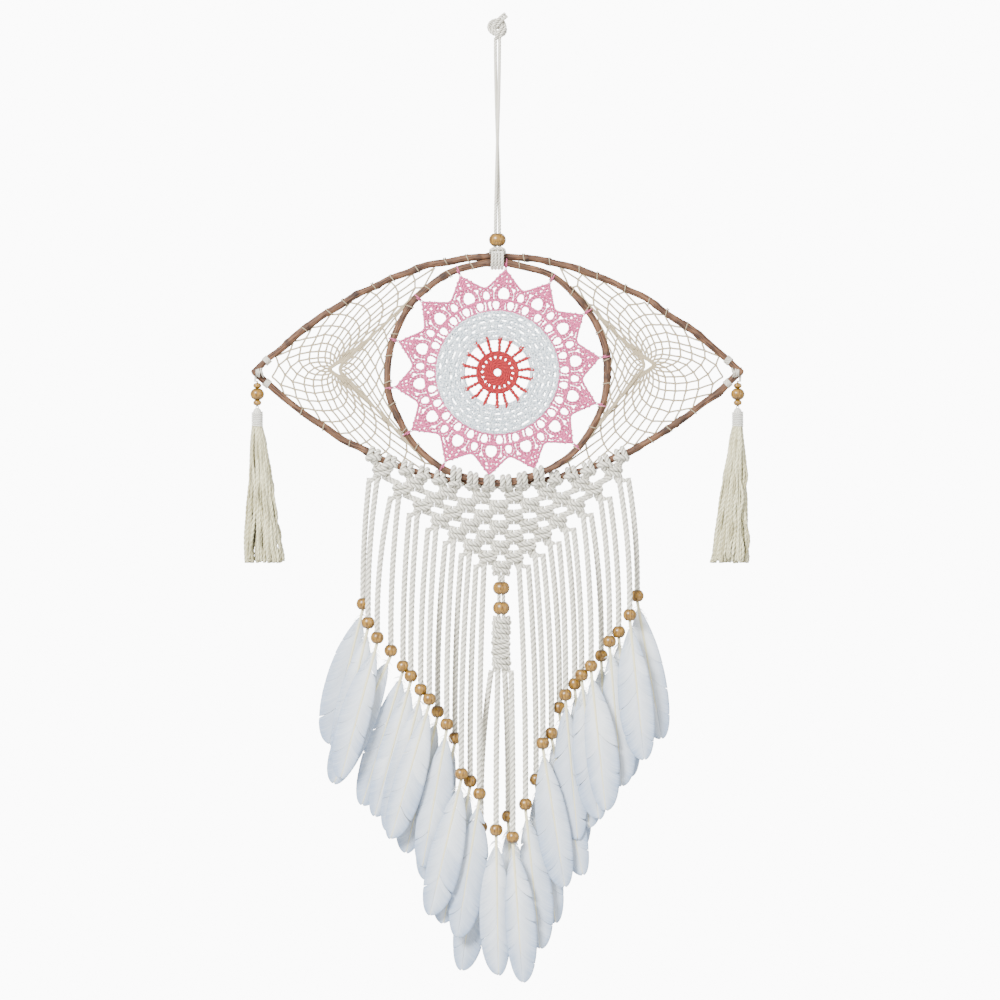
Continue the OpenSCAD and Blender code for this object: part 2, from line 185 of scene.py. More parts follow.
def sheath(paths, radius, sides=10, facing=FRONT, plies=0, groove=0.2, pitch=1.0, phase=0.0, closed=False):
    """Closed tubes along paths (m, n, 3), or closed rings of them. At each path point a ring stands square
    to the path, at
    radius * (1 - groove * (1 - |cos(plies / 2 * angle)|)), so plies give rounded lobes with sharp
    grooves, and it turns once per pitch along the path, which lays the plies in a helix.
    Gives vertices, face arrays, and each vertex's place in the straightened cord and crest (0-1), which the
    yarn materials use as a mask for painted shade in the grooves."""
    paths = np.asarray(paths, float)
    m, n, _ = paths.shape
    if closed:
        step = np.roll(paths, -1, axis=1) - np.roll(paths, 1, axis=1)
    else:
        step = np.gradient(paths, axis=1)
    run = unit(step)
    side = unit(np.cross(run, facing))
    up = np.cross(run, side)
    hops = np.linalg.norm(np.diff(paths, axis=1), axis=-1)
    along = np.concatenate([np.zeros((m, 1)), np.cumsum(hops, axis=1)], axis=1)
    if closed:
        whole = along[:, -1] + np.linalg.norm(paths[:, 0] - paths[:, -1], axis=1)
        pitch = (whole / np.maximum(np.round(whole / pitch), 1))[:, None, None]
    radius = np.asarray(radius, float)
    if radius.ndim == 3:
        radius = np.broadcast_to(radius, (m, n, sides))
    else:
        radius = np.broadcast_to(radius, (m, n))[..., None]
    angle = np.linspace(0, 2 * np.pi, sides, endpoint=False)
    crest = np.abs(np.cos(plies / 2 * angle)) if plies else np.ones(sides)
    swell = 1 - groove * (1 - crest)
    turned = angle + 2 * np.pi * along[..., None] / pitch * bool(plies) + np.reshape(phase, (-1, 1, 1))
    reach = radius * swell
    ring = paths[:, :, None] + (reach * np.cos(turned))[..., None] * side[:, :, None] \
        + (reach * np.sin(turned))[..., None] * up[:, :, None]
    straight = np.stack([reach * np.cos(angle), reach * np.sin(angle),
                         np.broadcast_to(along[..., None], reach.shape)], axis=-1)
    crests = np.broadcast_to(crest, (m, n, sides)).reshape(-1)
    shape = skin(ring, closed)
    shape["strand"], shape["crest"] = straight.reshape(-1, 3), crests
    if not closed:
        flat = np.zeros((2 * m, 3))
        flat[1::2, 2] = along[:, -1]
        shape["strand"] = np.concatenate([shape["strand"], flat])
        shape["crest"] = np.concatenate([crests, np.full(2 * m, 0.5)])
    return shape


def gather(*shapes):
    """Several shapes joined into one, each one's face numbers moved past the vertices before it."""
    shapes = [s for s in shapes if s is not None]
    starts = np.cumsum([0] + [len(s["places"]) for s in shapes])
    faces = [f + start for s, start in zip(shapes, starts) for f in s["faces"]]
    keys = [k for k in shapes[0] if k != "faces"]
    return {"faces": faces, **{k: np.concatenate([s[k] for s in shapes]) for k in keys}}


def piece(name, shape, material, body, stands_for=()):
    """One mesh object from a shape: its arrays go straight into the mesh, its extra arrays become
    attributes, and it rides on a body in place of the nodes that it stands for."""
    mesh = bpy.data.meshes.new(name)
    places = shape["places"]
    mesh.vertices.add(len(places))
    mesh.vertices.foreach_set("co", places.astype(np.float32).ravel())
    sizes = np.concatenate([np.full(len(f), f.shape[1]) for f in shape["faces"]])
    corners = np.concatenate([f.ravel() for f in shape["faces"]])
    mesh.loops.add(len(corners))
    mesh.loops.foreach_set("vertex_index", corners.astype(np.int32))
    mesh.polygons.add(len(sizes))
    mesh.polygons.foreach_set("loop_start", (np.cumsum(sizes) - sizes).astype(np.int32))
    mesh.polygons.foreach_set("loop_total", sizes.astype(np.int32))
    mesh.polygons.foreach_set("use_smooth", np.ones(len(sizes), bool))
    for key, values in shape.items():
        if key in ("places", "faces"):
            continue
        kind = "FLOAT" if values.ndim == 1 else "FLOAT_VECTOR"
        layer = mesh.attributes.new(key, kind, "POINT")
        layer.data.foreach_set("value" if values.ndim == 1 else "vector", values.astype(np.float32).ravel())
    mesh.update()
    mesh.validate()
    mesh.materials.append(material)
    made = bpy.data.objects.new(name, mesh)
    bpy.context.collection.objects.link(made)
    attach(made, body)
    if stands_for:
        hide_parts(*stands_for)
    return made


def fibre_group():
    """Noise drawn out along a strand: the place is stretched by Across and Along, then a fine
    noise gives Fibre, and a slower one gives Cloud."""
    group = bpy.data.node_groups.new("fibres", "ShaderNodeTree")
    face = group.interface
    face.new_socket("Place", in_out="INPUT", socket_type="NodeSocketVector")
    face.new_socket("Across", in_out="INPUT", socket_type="NodeSocketFloat")
    face.new_socket("Along", in_out="INPUT", socket_type="NodeSocketFloat")
    face.new_socket("Fibre", in_out="OUTPUT", socket_type="NodeSocketFloat")
    face.new_socket("Cloud", in_out="OUTPUT", socket_type="NodeSocketFloat")
    nodes, links = group.nodes, group.links
    given = nodes.new("NodeGroupInput")
    out = nodes.new("NodeGroupOutput")
    stretch = nodes.new("ShaderNodeCombineXYZ")
    links.new(given.outputs["Across"], stretch.inputs["X"])
    links.new(given.outputs["Across"], stretch.inputs["Y"])
    links.new(given.outputs["Along"], stretch.inputs["Z"])
    drawn = nodes.new("ShaderNodeVectorMath")
    drawn.operation = "MULTIPLY"
    links.new(given.outputs["Place"], drawn.inputs[0])
    links.new(stretch.outputs["Vector"], drawn.inputs[1])
    fine = nodes.new("ShaderNodeTexNoise")
    fine.inputs["Scale"].default_value = 1
    fine.inputs["Detail"].default_value = 3
    links.new(drawn.outputs["Vector"], fine.inputs["Vector"])
    slow = nodes.new("ShaderNodeTexNoise")
    slow.inputs["Scale"].default_value = 120
    slow.inputs["Detail"].default_value = 2
    links.new(given.outputs["Place"], slow.inputs["Vector"])
    links.new(fine.outputs["Fac"], out.inputs["Fibre"])
    links.new(slow.outputs["Fac"], out.inputs["Cloud"])
    return group


fibres = fibre_group()


def spun(name, light, dark, across=1500, along=200, rough=0.85, sheen=0.3, bump=0.35, depth=0.0002):
    """Spun yarn or cord: painted shade darkens the grooves between plies and the crests stay light,
    streaked and roughened by fibres that follow each ply."""
    made = bpy.data.materials.new(name)
    made.use_nodes = True
    nodes, links = made.node_tree.nodes, made.node_tree.links
    shader = nodes["Principled BSDF"]
    strand = nodes.new("ShaderNodeAttribute")
    strand.attribute_name = "strand"
    crest = nodes.new("ShaderNodeAttribute")
    crest.attribute_name = "crest"
    hair = nodes.new("ShaderNodeGroup")
    hair.node_tree = fibres
    hair.inputs["Across"].default_value = across
    hair.inputs["Along"].default_value = along
    links.new(strand.outputs["Vector"], hair.inputs["Place"])
    # Painted shade: the crest attribute is low in the grooves between plies, so the mix below turns the
    # grooves towards the dark colour, and the fibre noise adds streaks.
    lift = nodes.new("ShaderNodeMath")
    lift.operation = "MULTIPLY_ADD"
    lift.inputs[1].default_value = 0.9
    links.new(hair.outputs["Fibre"], lift.inputs[0])
    links.new(crest.outputs["Fac"], lift.inputs[2])
    tone = nodes.new("ShaderNodeMapRange")
    tone.inputs["From Min"].default_value = 0.35
    tone.inputs["From Max"].default_value = 1.25
    links.new(lift.outputs["Value"], tone.inputs["Value"])
    mix = nodes.new("ShaderNodeMix")
    mix.data_type = "RGBA"
    mix.inputs["A"].default_value = (*dark, 1)
    mix.inputs["B"].default_value = (*light, 1)
    links.new(tone.outputs["Result"], mix.inputs["Factor"])
    patch = nodes.new("ShaderNodeMapRange")
    patch.inputs["From Min"].default_value = 0.3
    patch.inputs["From Max"].default_value = 0.7
    patch.inputs["To Min"].default_value = 0.93
    patch.inputs["To Max"].default_value = 1.03
    links.new(hair.outputs["Cloud"], patch.inputs["Value"])
    shade = nodes.new("ShaderNodeVectorMath")
    shade.operation = "SCALE"
    links.new(mix.outputs["Result"], shade.inputs[0])
    links.new(patch.outputs["Result"], shade.inputs["Scale"])
    links.new(shade.outputs["Vector"], shader.inputs["Base Color"])
    relief = nodes.new("ShaderNodeBump")
    relief.inputs["Strength"].default_value = bump
    relief.inputs["Distance"].default_value = depth
    links.new(hair.outputs["Fibre"], relief.inputs["Height"])
    links.new(relief.outputs["Normal"], shader.inputs["Normal"])
    shader.inputs["Roughness"].default_value = rough
    shader.inputs["Sheen Weight"].default_value = sheen
    shader.inputs["Sheen Roughness"].default_value = 0.5
    return made


CORD_RADIUS = 1.4 * MM
CORD_APART = 1.55 * MM
cotton = spun("cotton", light=(0.90, 0.87, 0.75), dark=(0.085, 0.072, 0.050), across=1600, along=240)
cord_bottom, cord_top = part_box("hanging_cord")
t = np.linspace(0, 1, 160)
for side, name in ((-1, "hanging_cord_left"), (1, "hanging_cord_right")):
    route = np.stack([side * CORD_APART * np.cos(np.pi * t), side * CORD_APART * np.sin(np.pi * t),
                      cord_bottom[2] + (cord_top[2] - cord_bottom[2]) * t], axis=1)
    rope = sheath(route[None], CORD_RADIUS, sides=15, plies=3, pitch=7.5 * MM, groove=0.24)
    strand = piece(name, rope, cotton, "hanger", ["hanging_cord"])

# Overhand knot of both strands, pulled tight, with a short tail up to the right.
KNOT_LINE = [(0, 0, -1), (1.6, -2.2, 3), (4.6, -1.6, 8), (2.4, 2.4, 12.6), (-3.6, 2.6, 11.6),
             (-5.4, -0.6, 7.4),
             (-2.4, -2.6, 3.8), (3.2, 0.6, 3.2), (4.8, 3.0, 7.0), (0.2, 0.4, 9.0), (-1.6, -3.4, 8.4),
             (2.0, -2.4, 13.2), (6.4, -0.6, 17.2)]
knot_line = smooth_through(np.array(KNOT_LINE) * MM, 110)
knot_run = unit(np.gradient(knot_line, axis=0))
knot_off = unit(np.cross(knot_run, FRONT + 0.4 * ACROSS)) * 1.25 * MM
knot = sheath(np.stack([knot_line + knot_off, knot_line - knot_off]), 1.35 * MM, sides=12, plies=3,
              pitch=7 * MM, groove=0.24)
piece("hanging_knot_overhand", knot, cotton, "hanger", ["hanging_knot"])


# ---- Hanging bead: a turned wooden bead that slides on both strands ----
# A squat barrel of varnished pale wood, bored through. The lathe leaves it smooth, with the grain
# lying across it, and painted shade darkens the rim round the bore.
def turned_bead(middle, across, tall, bore, seed, flat=0.6, around=30):
    """A profile turned about Z: outside, the ellipse through the widest radius R at half height and
    flat * R at both ends, a rounded rim, then straight down the bore. Also gives the place in the
    wood, turned and moved by the seed, as the attribute grain."""
    rng = np.random.default_rng(seed)
    wide = across / 2
    rim = flat * wide
    v = np.linspace(-1, 1, 17)
    outside = np.sqrt(wide ** 2 - (wide ** 2 - rim ** 2) * v ** 2)
    lip = bore / 2 + np.array([0.45, 0.12, 0.0, 0.0, 0.12, 0.45]) * (rim - bore / 2)
    lip_z = np.array([1.0, 0.97, 0.88, -0.88, -0.97, -1.0])
    radii = np.concatenate([outside, lip])
    heights = np.concatenate([v, lip_z]) * tall / 2
    turn = np.linspace(0, 2 * np.pi, around, endpoint=False)
    local = np.stack([radii[:, None] * np.cos(turn), radii[:, None] * np.sin(turn),
                      np.broadcast_to(heights[:, None], (len(radii), around))], axis=-1)
    grid = np.arange(len(radii) * around).reshape(len(radii), around)
    after = np.roll(grid, -1, axis=0)
    quads = np.stack([grid, np.roll(grid, -1, axis=1), np.roll(after, -1, axis=1), after], axis=-1)
    local = local.reshape(-1, 3)
    lean = rng.uniform(0, np.pi, 2)
    turned = np.stack([local[:, 0] * np.cos(lean[0]) - local[:, 1] * np.sin(lean[0]),
                       local[:, 0] * np.sin(lean[0]) + local[:, 1] * np.cos(lean[0]), local[:, 2]], axis=1)
    # Painted shade: this mask falls to 0 towards the bore and the flat ends, and the material darkens the
    # wood there.
    rim_shade = np.clip((np.hypot(local[:, 0], local[:, 1]) / wide - 0.72) / 0.28, 0, 1)
    return {"places": local + middle, "faces": [quads.reshape(-1, 4)],
            "grain": turned + rng.uniform(0, 0.5, 3), "rim_shade": rim_shade}


def varnished_wood(name, light, dark):
    """Turned wood: long streaks of grain in a light and a dark brown, darker pores, painted shade that
    darkens the ends and the rim round the bore where the turned radius is small, under a thin coat of
    varnish."""
    made = bpy.data.materials.new(name)
    made.use_nodes = True
    nodes, links = made.node_tree.nodes, made.node_tree.links
    shader = nodes["Principled BSDF"]
    grain = nodes.new("ShaderNodeAttribute")
    grain.attribute_name = "grain"
    rim_shade = nodes.new("ShaderNodeAttribute")
    rim_shade.attribute_name = "rim_shade"
    streak = nodes.new("ShaderNodeGroup")
    streak.node_tree = fibres
    streak.inputs["Across"].default_value = 900
    streak.inputs["Along"].default_value = 190
    links.new(grain.outputs["Vector"], streak.inputs["Place"])
    tone = nodes.new("ShaderNodeMapRange")
    tone.inputs["From Min"].default_value = 0.34
    tone.inputs["From Max"].default_value = 0.6
    links.new(streak.outputs["Fibre"], tone.inputs["Value"])
    mix = nodes.new("ShaderNodeMix")
    mix.data_type = "RGBA"
    mix.inputs["A"].default_value = (*dark, 1)
    mix.inputs["B"].default_value = (*light, 1)
    links.new(tone.outputs["Result"], mix.inputs["Factor"])
    rim = nodes.new("ShaderNodeMapRange")
    rim.inputs["To Min"].default_value = 0.5
    rim.inputs["To Max"].default_value = 1.0
    rim.inputs["From Max"].default_value = 0.5
    links.new(rim_shade.outputs["Fac"], rim.inputs["Value"])
    shade = nodes.new("ShaderNodeVectorMath")
    shade.operation = "SCALE"
    links.new(mix.outputs["Result"], shade.inputs[0])
    links.new(rim.outputs["Result"], shade.inputs["Scale"])
    links.new(shade.outputs["Vector"], shader.inputs["Base Color"])
    relief = nodes.new("ShaderNodeBump")
    relief.inputs["Strength"].default_value = 0.15
    relief.inputs["Distance"].default_value = 0.0001
    links.new(streak.outputs["Fibre"], relief.inputs["Height"])
    links.new(relief.outputs["Normal"], shader.inputs["Normal"])
    shader.inputs["Roughness"].default_value = 0.38
    shader.inputs["Coat Weight"].default_value = 0.35
    shader.inputs["Coat Roughness"].default_value = 0.18
    return made


wood = varnished_wood("golden_wood", light=(0.34, 0.175, 0.016), dark=(0.10, 0.042, 0.003))
low, high = (np.array(c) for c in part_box("hanging_bead"))
piece("hanging_bead_turned", turned_bead((low + high) / 2, high[0] - low[0], high[2] - low[2], 6.2 * MM, 5),
      wood, "hanging_bead_body", ["hanging_bead"])


# ---- Hitch: the doubled cord looped over both stems at the top ----
# A lark's head: two double loops side by side go round the upper rib and the hoop, and the bar of
# the loop crosses in front of them under the bead.
HITCH_RADIUS = 1.25 * MM
low, high = (np.array(c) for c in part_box("cord_hitch"))
ring_middle = np.array([0, (low[1] + high[1]) / 2, low[2] + (high[1] - low[1]) / 2])
round_r = (high[1] - low[1]) / 2 - HITCH_RADIUS
turn = np.linspace(0, 2 * np.pi, 48, endpoint=False)
loops = ring_middle + np.stack([
    np.stack([np.full(48, x) + 0.25 * MM * np.sin(turn), round_r * np.cos(turn), round_r * np.sin(turn)],
             axis=1)
    for x in np.array([-3.7, -1.25, 1.25, 3.7]) * MM])
hitch_loops = sheath(loops, HITCH_RADIUS, sides=12, facing=ACROSS, plies=3, pitch=7 * MM, groove=0.24,
                     closed=True)
top_z = ring_middle[2] + round_r
bar = smooth_through(np.array([(-5.4, 1.5, -3.2), (-5.0, -3.2, 0.2), (-2.4, -5.0, 1.2), (2.4, -5.0, 1.2),
                               (5.0, -3.2, 0.2), (5.4, 1.5, -3.2)]) * MM + (0, ring_middle[1], top_z), 40)
necks = np.stack([smooth_through(np.array([(s * 1.4, -1.2, 4.6), (s * 1.9, -1.4, 2.4),
                                           (s * 2.6, -0.8, -0.4)]) * MM
                                 + (0, ring_middle[1], top_z), 14) for s in (-1, 1)])
hitch_rest = gather(sheath(bar[None], HITCH_RADIUS, sides=12, plies=3, pitch=7 * MM, groove=0.24),
                    sheath(necks, 1.35 * MM, sides=12, plies=3, pitch=7 * MM, groove=0.24))
piece("cord_hitch_loops", gather(hitch_loops, hitch_rest), cotton, "hitch", ["cord_hitch"])


# ---- Vine stems: upper rib, lower rib and inner hoop ----
# Three lengths of thin dried vine, bent while they were green: two arched ribs that cross at the
# tips, and a hoop between them. The bark is brown and ridged, and it swells where leaves grew.
half_span = (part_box("upper_rib")[1][0] - 1.5 * MM)
stem_r = 2.6 * MM
rib_low, rib_high = (np.array(c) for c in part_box("lower_rib"))
hoop_low, hoop_high = (np.array(c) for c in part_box("inner_hoop"))
hoop_r = (hoop_high[0] - hoop_low[0]) / 2 - stem_r
eye_z = (hoop_high[2] + hoop_low[2]) / 2
upper_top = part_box("upper_rib")[1][2] - stem_r
lower_bottom = rib_low[2] + stem_r
lower_back = (rib_low[1] + rib_high[1]) / 2
upper_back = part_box("upper_rib")[1][1] - stem_r
UPPER_RISE = 86.4 * MM
LOWER_SAG = 84.2 * MM
upper_tip_y = lower_back - 5.3 * MM


def upper_rib_at(x):
    """The upper rib's middle line: a parabola that falls UPPER_RISE from the middle to the tips."""
    share = (x / half_span) ** 2
    return np.stack([x, upper_back + (upper_tip_y - upper_back) * share, upper_top - UPPER_RISE * share],
                    axis=-1)


def lower_rib_at(x):
    """The lower rib's middle line: a parabola that rises LOWER_SAG from the middle to the tips."""
    share = (x / half_span) ** 2
    return np.stack([x, np.full_like(x, lower_back), lower_bottom + LOWER_SAG * share], axis=-1)


def hoop_at(angle, r=None, y=0.0):
    """The hoop's middle line, or a wider or narrower circle: angle runs from +X towards +Z."""
    r = hoop_r if r is None else r
    return np.stack([r * np.cos(angle), np.broadcast_to(y, np.shape(angle)) + 0 * angle,
                     eye_z + r * np.sin(angle)], axis=-1)


def vine(line, seed, closed=False, sides=22):
    """A stem along a line (n, 3): its radius swells at leaf nodes as bell curves, and carries
    ridges that wind slowly round it, and the line itself wavers by slow sums of sines. Gives
    also how near each vertex is to a node, as the attribute node."""
    rng = np.random.default_rng(seed)
    n = len(line)
    hop = np.linalg.norm(np.diff(line, axis=0), axis=1)
    s = np.concatenate([[0], np.cumsum(hop)])
    total = s[-1] + (np.linalg.norm(line[0] - line[-1]) if closed else 0)
    turns = 2 * np.pi * s / total
    run = unit(np.roll(line, -1, axis=0) - np.roll(line, 1, axis=0) if closed else np.gradient(line, axis=0))
    out = unit(np.cross(run, FRONT))
    waver = sum(rng.uniform(-1, 1) * 0.22 * MM * np.sin(k * turns + rng.uniform(0, 6)) for k in range(5, 16))
    calm_ends = np.clip(np.minimum(s, total - s) / (20 * MM) + (1 if closed else 0), 0, 1)
    line = line + out * (waver * calm_ends)[:, None]
    joints = np.sort(rng.uniform(0, 1, int(total / (34 * MM)))) * total
    away = (s[:, None] - joints) / (rng.uniform(1.6, 3.2, len(joints)) * MM)
    bulge = np.exp(-away ** 2).max(axis=1)
    theta = np.linspace(0, 2 * np.pi, sides, endpoint=False)
    lean = rng.uniform(0, 6, 6)
    wind = turns[:, None] * 3
    ridges = 0.020 * np.sin(3 * theta + wind + lean[0]) + 0.014 * np.sin(5 * theta - 2 * wind + lean[1]) \
        + 0.010 * np.sin(8 * theta + 5 * wind + lean[2] + 1.5 * np.sin(11 * turns + lean[3])[:, None]) \
        + 0.014 * np.sin(2 * theta + 40 * turns[:, None] + lean[4]) + 0.007 * rng.standard_normal((n, sides))
    thick = 1 + 0.05 * np.sin(4 * turns + lean[5]) + 0.03 * np.sin(9 * turns + lean[0])
    lump = 0.17 * bulge[:, None] * (1 + 0.5 * np.cos(theta - lean[1] - 2.4 * np.floor(turns * 3)[:, None]))
    radius = stem_r * (thick[:, None] + ridges + lump)
    taper = np.ones(n) if closed else np.clip(np.minimum(s, total - s) / (1.2 * MM) + 0.75, 0.75, 1)
    shape = sheath(line[None], (radius * taper[:, None])[None], sides=sides, closed=closed)
    near = np.broadcast_to(bulge[:, None], (n, sides)).reshape(-1)
    shape["node"] = near if closed else np.concatenate([near, [0, 0]])
    return shape


def dry_bark(name):
    """Vine bark: brown streaks along the stem, fine dark cracks, pale worn ridges and dark nodes."""
    made = bpy.data.materials.new(name)
    made.use_nodes = True
    nodes, links = made.node_tree.nodes, made.node_tree.links
    shader = nodes["Principled BSDF"]
    strand = nodes.new("ShaderNodeAttribute")
    strand.attribute_name = "strand"
    node = nodes.new("ShaderNodeAttribute")
    node.attribute_name = "node"
    streak = nodes.new("ShaderNodeGroup")
    streak.node_tree = fibres
    streak.inputs["Across"].default_value = 1100
    streak.inputs["Along"].default_value = 110
    links.new(strand.outputs["Vector"], streak.inputs["Place"])
    brown = nodes.new("ShaderNodeValToRGB")
    ramp = brown.color_ramp
    ramp.elements[0].position, ramp.elements[0].color = 0.36, (0.024, 0.009, 0.004, 1)
    ramp.elements[1].position, ramp.elements[1].color = 0.68, (0.185, 0.088, 0.040, 1)
    middle = ramp.elements.new(0.48)
    middle.color = (0.10, 0.042, 0.018, 1)
    links.new(streak.outputs["Fibre"], brown.inputs["Fac"])
    patch = nodes.new("ShaderNodeMapRange")
    patch.inputs["From Min"].default_value = 0.35
    patch.inputs["From Max"].default_value = 0.65
    patch.inputs["To Min"].default_value = 0.72
    patch.inputs["To Max"].default_value = 1.2
    links.new(streak.outputs["Cloud"], patch.inputs["Value"])
    darker = nodes.new("ShaderNodeMapRange")
    darker.inputs["To Min"].default_value = 1.0
    darker.inputs["To Max"].default_value = 0.6
    links.new(node.outputs["Fac"], darker.inputs["Value"])
    both = nodes.new("ShaderNodeMath")
    both.operation = "MULTIPLY"
    links.new(patch.outputs["Result"], both.inputs[0])
    links.new(darker.outputs["Result"], both.inputs[1])
    shade = nodes.new("ShaderNodeVectorMath")
    shade.operation = "SCALE"
    links.new(brown.outputs["Color"], shade.inputs[0])
    links.new(both.outputs["Value"], shade.inputs["Scale"])
    links.new(shade.outputs["Vector"], shader.inputs["Base Color"])
    relief = nodes.new("ShaderNodeBump")
    relief.inputs["Strength"].default_value = 0.6
    relief.inputs["Distance"].default_value = 0.0004
    links.new(streak.outputs["Fibre"], relief.inputs["Height"])
    links.new(relief.outputs["Normal"], shader.inputs["Normal"])
    shader.inputs["Roughness"].default_value = 0.72
    return made


bark = dry_bark("vine_bark")
x = np.linspace(-half_span - 1.5 * MM, half_span + 1.5 * MM, 520)
piece("upper_rib_vine", vine(upper_rib_at(x), 11), bark, "eye", ["upper_rib"])
piece("lower_rib_vine", vine(lower_rib_at(x), 23), bark, "eye", ["lower_rib"])
around = np.linspace(0, 2 * np.pi, 640, endpoint=False)
piece("inner_hoop_vine", vine(hoop_at(around), 37, closed=True), bark, "eye", ["inner_hoop"])


# ---- Thread on the stems: hitches of net thread and lashed tips ----
# The nets' waxed thread is hitched round every stem at each anchor, and white thread is wound
# round both ribs where they cross at the tips.
THREAD_RADIUS = 0.5 * MM
LASH_RADIUS = THREAD_RADIUS * 1.05
LASH_PLACE = 9 * MM  # in from the tip
LASH_REACH = 1.13  # the winding's radius, in stem radii
LASH_TURNS = 5
LASH_PITCH = 0.84 * MM
LASH_TWIST = 4.4 * MM
LEANING = np.array([0.3, 0.9, 0.2])  # the facing of windings, off every axis
net_thread = spun("net_thread", light=(0.42, 0.34, 0.21), dark=(0.14, 0.10, 0.055), across=3000, along=500,
                  rough=0.6, sheen=0.15, bump=0.25)
white_thread = spun("lashing_thread", light=(0.80, 0.76, 0.66), dark=(0.40, 0.36, 0.28), across=3000,
                    along=500, rough=0.7, sheen=0.2, bump=0.25)


def wound(middles, runs, reach, turns, pitch, count=48, slant=0.0):
    """Helices round stems at middles (m, 3) that run along runs: the angle grows evenly, the middle
    moves pitch a turn, and slant leans every turn by slant * cos(angle)."""
    angle = np.linspace(-np.pi * turns, np.pi * turns, count)
    side = unit(np.cross(runs, FRONT))
    up = np.cross(runs, side)
    shift = pitch * angle / (2 * np.pi) + slant * np.cos(angle)
    return middles[:, None] + runs[:, None] * shift[:, None] + reach * (
        np.cos(angle)[:, None] * side[:, None] + np.sin(angle)[:, None] * up[:, None])


def evenly(line_at, low, high, spacing, seed):
    """Places about spacing apart along a line, each a little off, and the line's direction there."""
    rng = np.random.default_rng(seed)
    fine = np.linspace(low, high, 600)
    points = line_at(fine)
    s = np.concatenate([[0], np.cumsum(np.linalg.norm(np.diff(points, axis=0), axis=1))])
    count = int(s[-1] / spacing)
    at = np.interp((np.arange(count) + 0.5 + rng.uniform(-0.18, 0.18, count)) * s[-1] / count, s, fine)
    step = (high - low) * 1e-4
    return line_at(at), unit(line_at(at + step) - line_at(at - step))


hitches = []
for line_at, low, high, seed in ((upper_rib_at, -0.152, -0.012, 1), (upper_rib_at, 0.012, 0.152, 2),
                                 (lower_rib_at, -0.152, -0.104, 3), (lower_rib_at, 0.104, 0.152, 4),
                                 (hoop_at, -0.9, 1.45, 5), (hoop_at, 1.69, 4.04, 6)):
    middles, runs = evenly(line_at, low, high, 18 * MM, seed)
    hitches.append(sheath(wound(middles, runs, stem_r * 1.12, 1.15, 1.3 * MM, slant=0.7 * MM), THREAD_RADIUS,
                          sides=8, facing=LEANING, plies=2, pitch=4.0 * MM))
piece("net_hitches", gather(*hitches), net_thread, "eye", ())

for side, name in ((-1, "left"), (1, "right")):
    tips = []
    for line_at in (upper_rib_at, lower_rib_at):
        place = np.array([side * (half_span - LASH_PLACE)])
        run = unit(line_at(place + side * 1e-4) - line_at(place))
        tips.append(sheath(wound(line_at(place), run, stem_r * LASH_REACH, LASH_TURNS, LASH_PITCH, 180),
                           LASH_RADIUS, sides=8, facing=LEANING, plies=2, pitch=LASH_TWIST))
    # Both ribs together: stretched rings round the pair of stems, side by side and crossed.
    cross = (upper_rib_at(np.array([side * half_span])) + lower_rib_at(np.array([side * half_span])))[0] / 2
    turn = np.linspace(0, 2 * np.pi, 60, endpoint=False)
    rings = np.stack([np.stack([cross[0] - side * (k * 0.95 + 1.4) * MM + lean * MM * np.sin(turn),
                                cross[1] + (stem_r + 3.1 * MM) * np.cos(turn),
                                cross[2] + (stem_r + (0.35 + 0.25 * k) * MM) * np.sin(turn)], axis=1)
                      for k, lean in enumerate((0.0, 0.2, -0.2, 1.2, -1.2))])
    tips.append(sheath(rings, LASH_RADIUS, sides=8, facing=ACROSS, plies=2, pitch=LASH_TWIST, closed=True))
    # The loop that the tassel's thread hangs from: round the lower rib, down to the thread's top.
    hung = np.array(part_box(name + "_tassel_cord")[1])
    rib = lower_rib_at(np.array([side * half_span]))[0]
    loop_top, loop_low = rib[2] + stem_r + 1.1 * MM, hung[2] - 0.5 * MM
    loop = np.stack([np.full(60, rib[0]) + 0.4 * MM * np.sin(turn),
                     rib[1] + (stem_r + 0.9 * MM) * np.cos(turn) * (0.6 + 0.4 * np.sin(turn)),
                     (loop_top + loop_low) / 2 + (loop_top - loop_low) / 2 * np.sin(turn)], axis=1)
    tips.append(sheath(np.stack([loop, loop + (0.9 * MM, 0, 0)]), THREAD_RADIUS * 0.8, sides=8,
                       facing=ACROSS, plies=2, pitch=LASH_TWIST, closed=True))
    piece(name + "_tip_lashing_thread", gather(*tips), white_thread, "eye", [name + "_tip_lashing"])


# ---- Nets: waxed thread knotted in rounds between the hoop and the tips ----
# Each net starts from 28 hitches on the stems. Every round is looped through the middles of the
# loops before it, so the meshes get smaller towards a little ring off the net's centre.
ANCHORS = 28
ROUNDS = 10
MESH_THREAD = 0.70 * MM
NET_FROM = 47 * MM
NET_TO = 169 * MM
NET_CENTRES = {"left": (-121 * MM, -248 * MM), "right": (112 * MM, -244.5 * MM)}


def net_edge(side, count):
    """Anchors of a net, evenly along the inner edges of the upper rib, the lower rib and the hoop."""
    x = side * np.linspace(NET_FROM, NET_TO, 80)
    start = np.arccos(NET_FROM / hoop_r)
    angle = np.linspace(-start, start, 80)
    arc = hoop_at(angle, hoop_r + stem_r * 0.9)
    arc[:, 0] *= side
    top = upper_rib_at(x) - (0, 0, stem_r)
    under = lower_rib_at(x[::-1]) + (0, 0, stem_r)
    line = np.concatenate([top, under, arc])
    line = np.concatenate([line, line[:1]])
    s = np.concatenate([[0], np.cumsum(np.linalg.norm(np.diff(line, axis=0), axis=1))])
    at = np.linspace(0, s[-1], count, endpoint=False)
    return np.stack([np.interp(at, s, line[:, k]) for k in range(3)], axis=1)


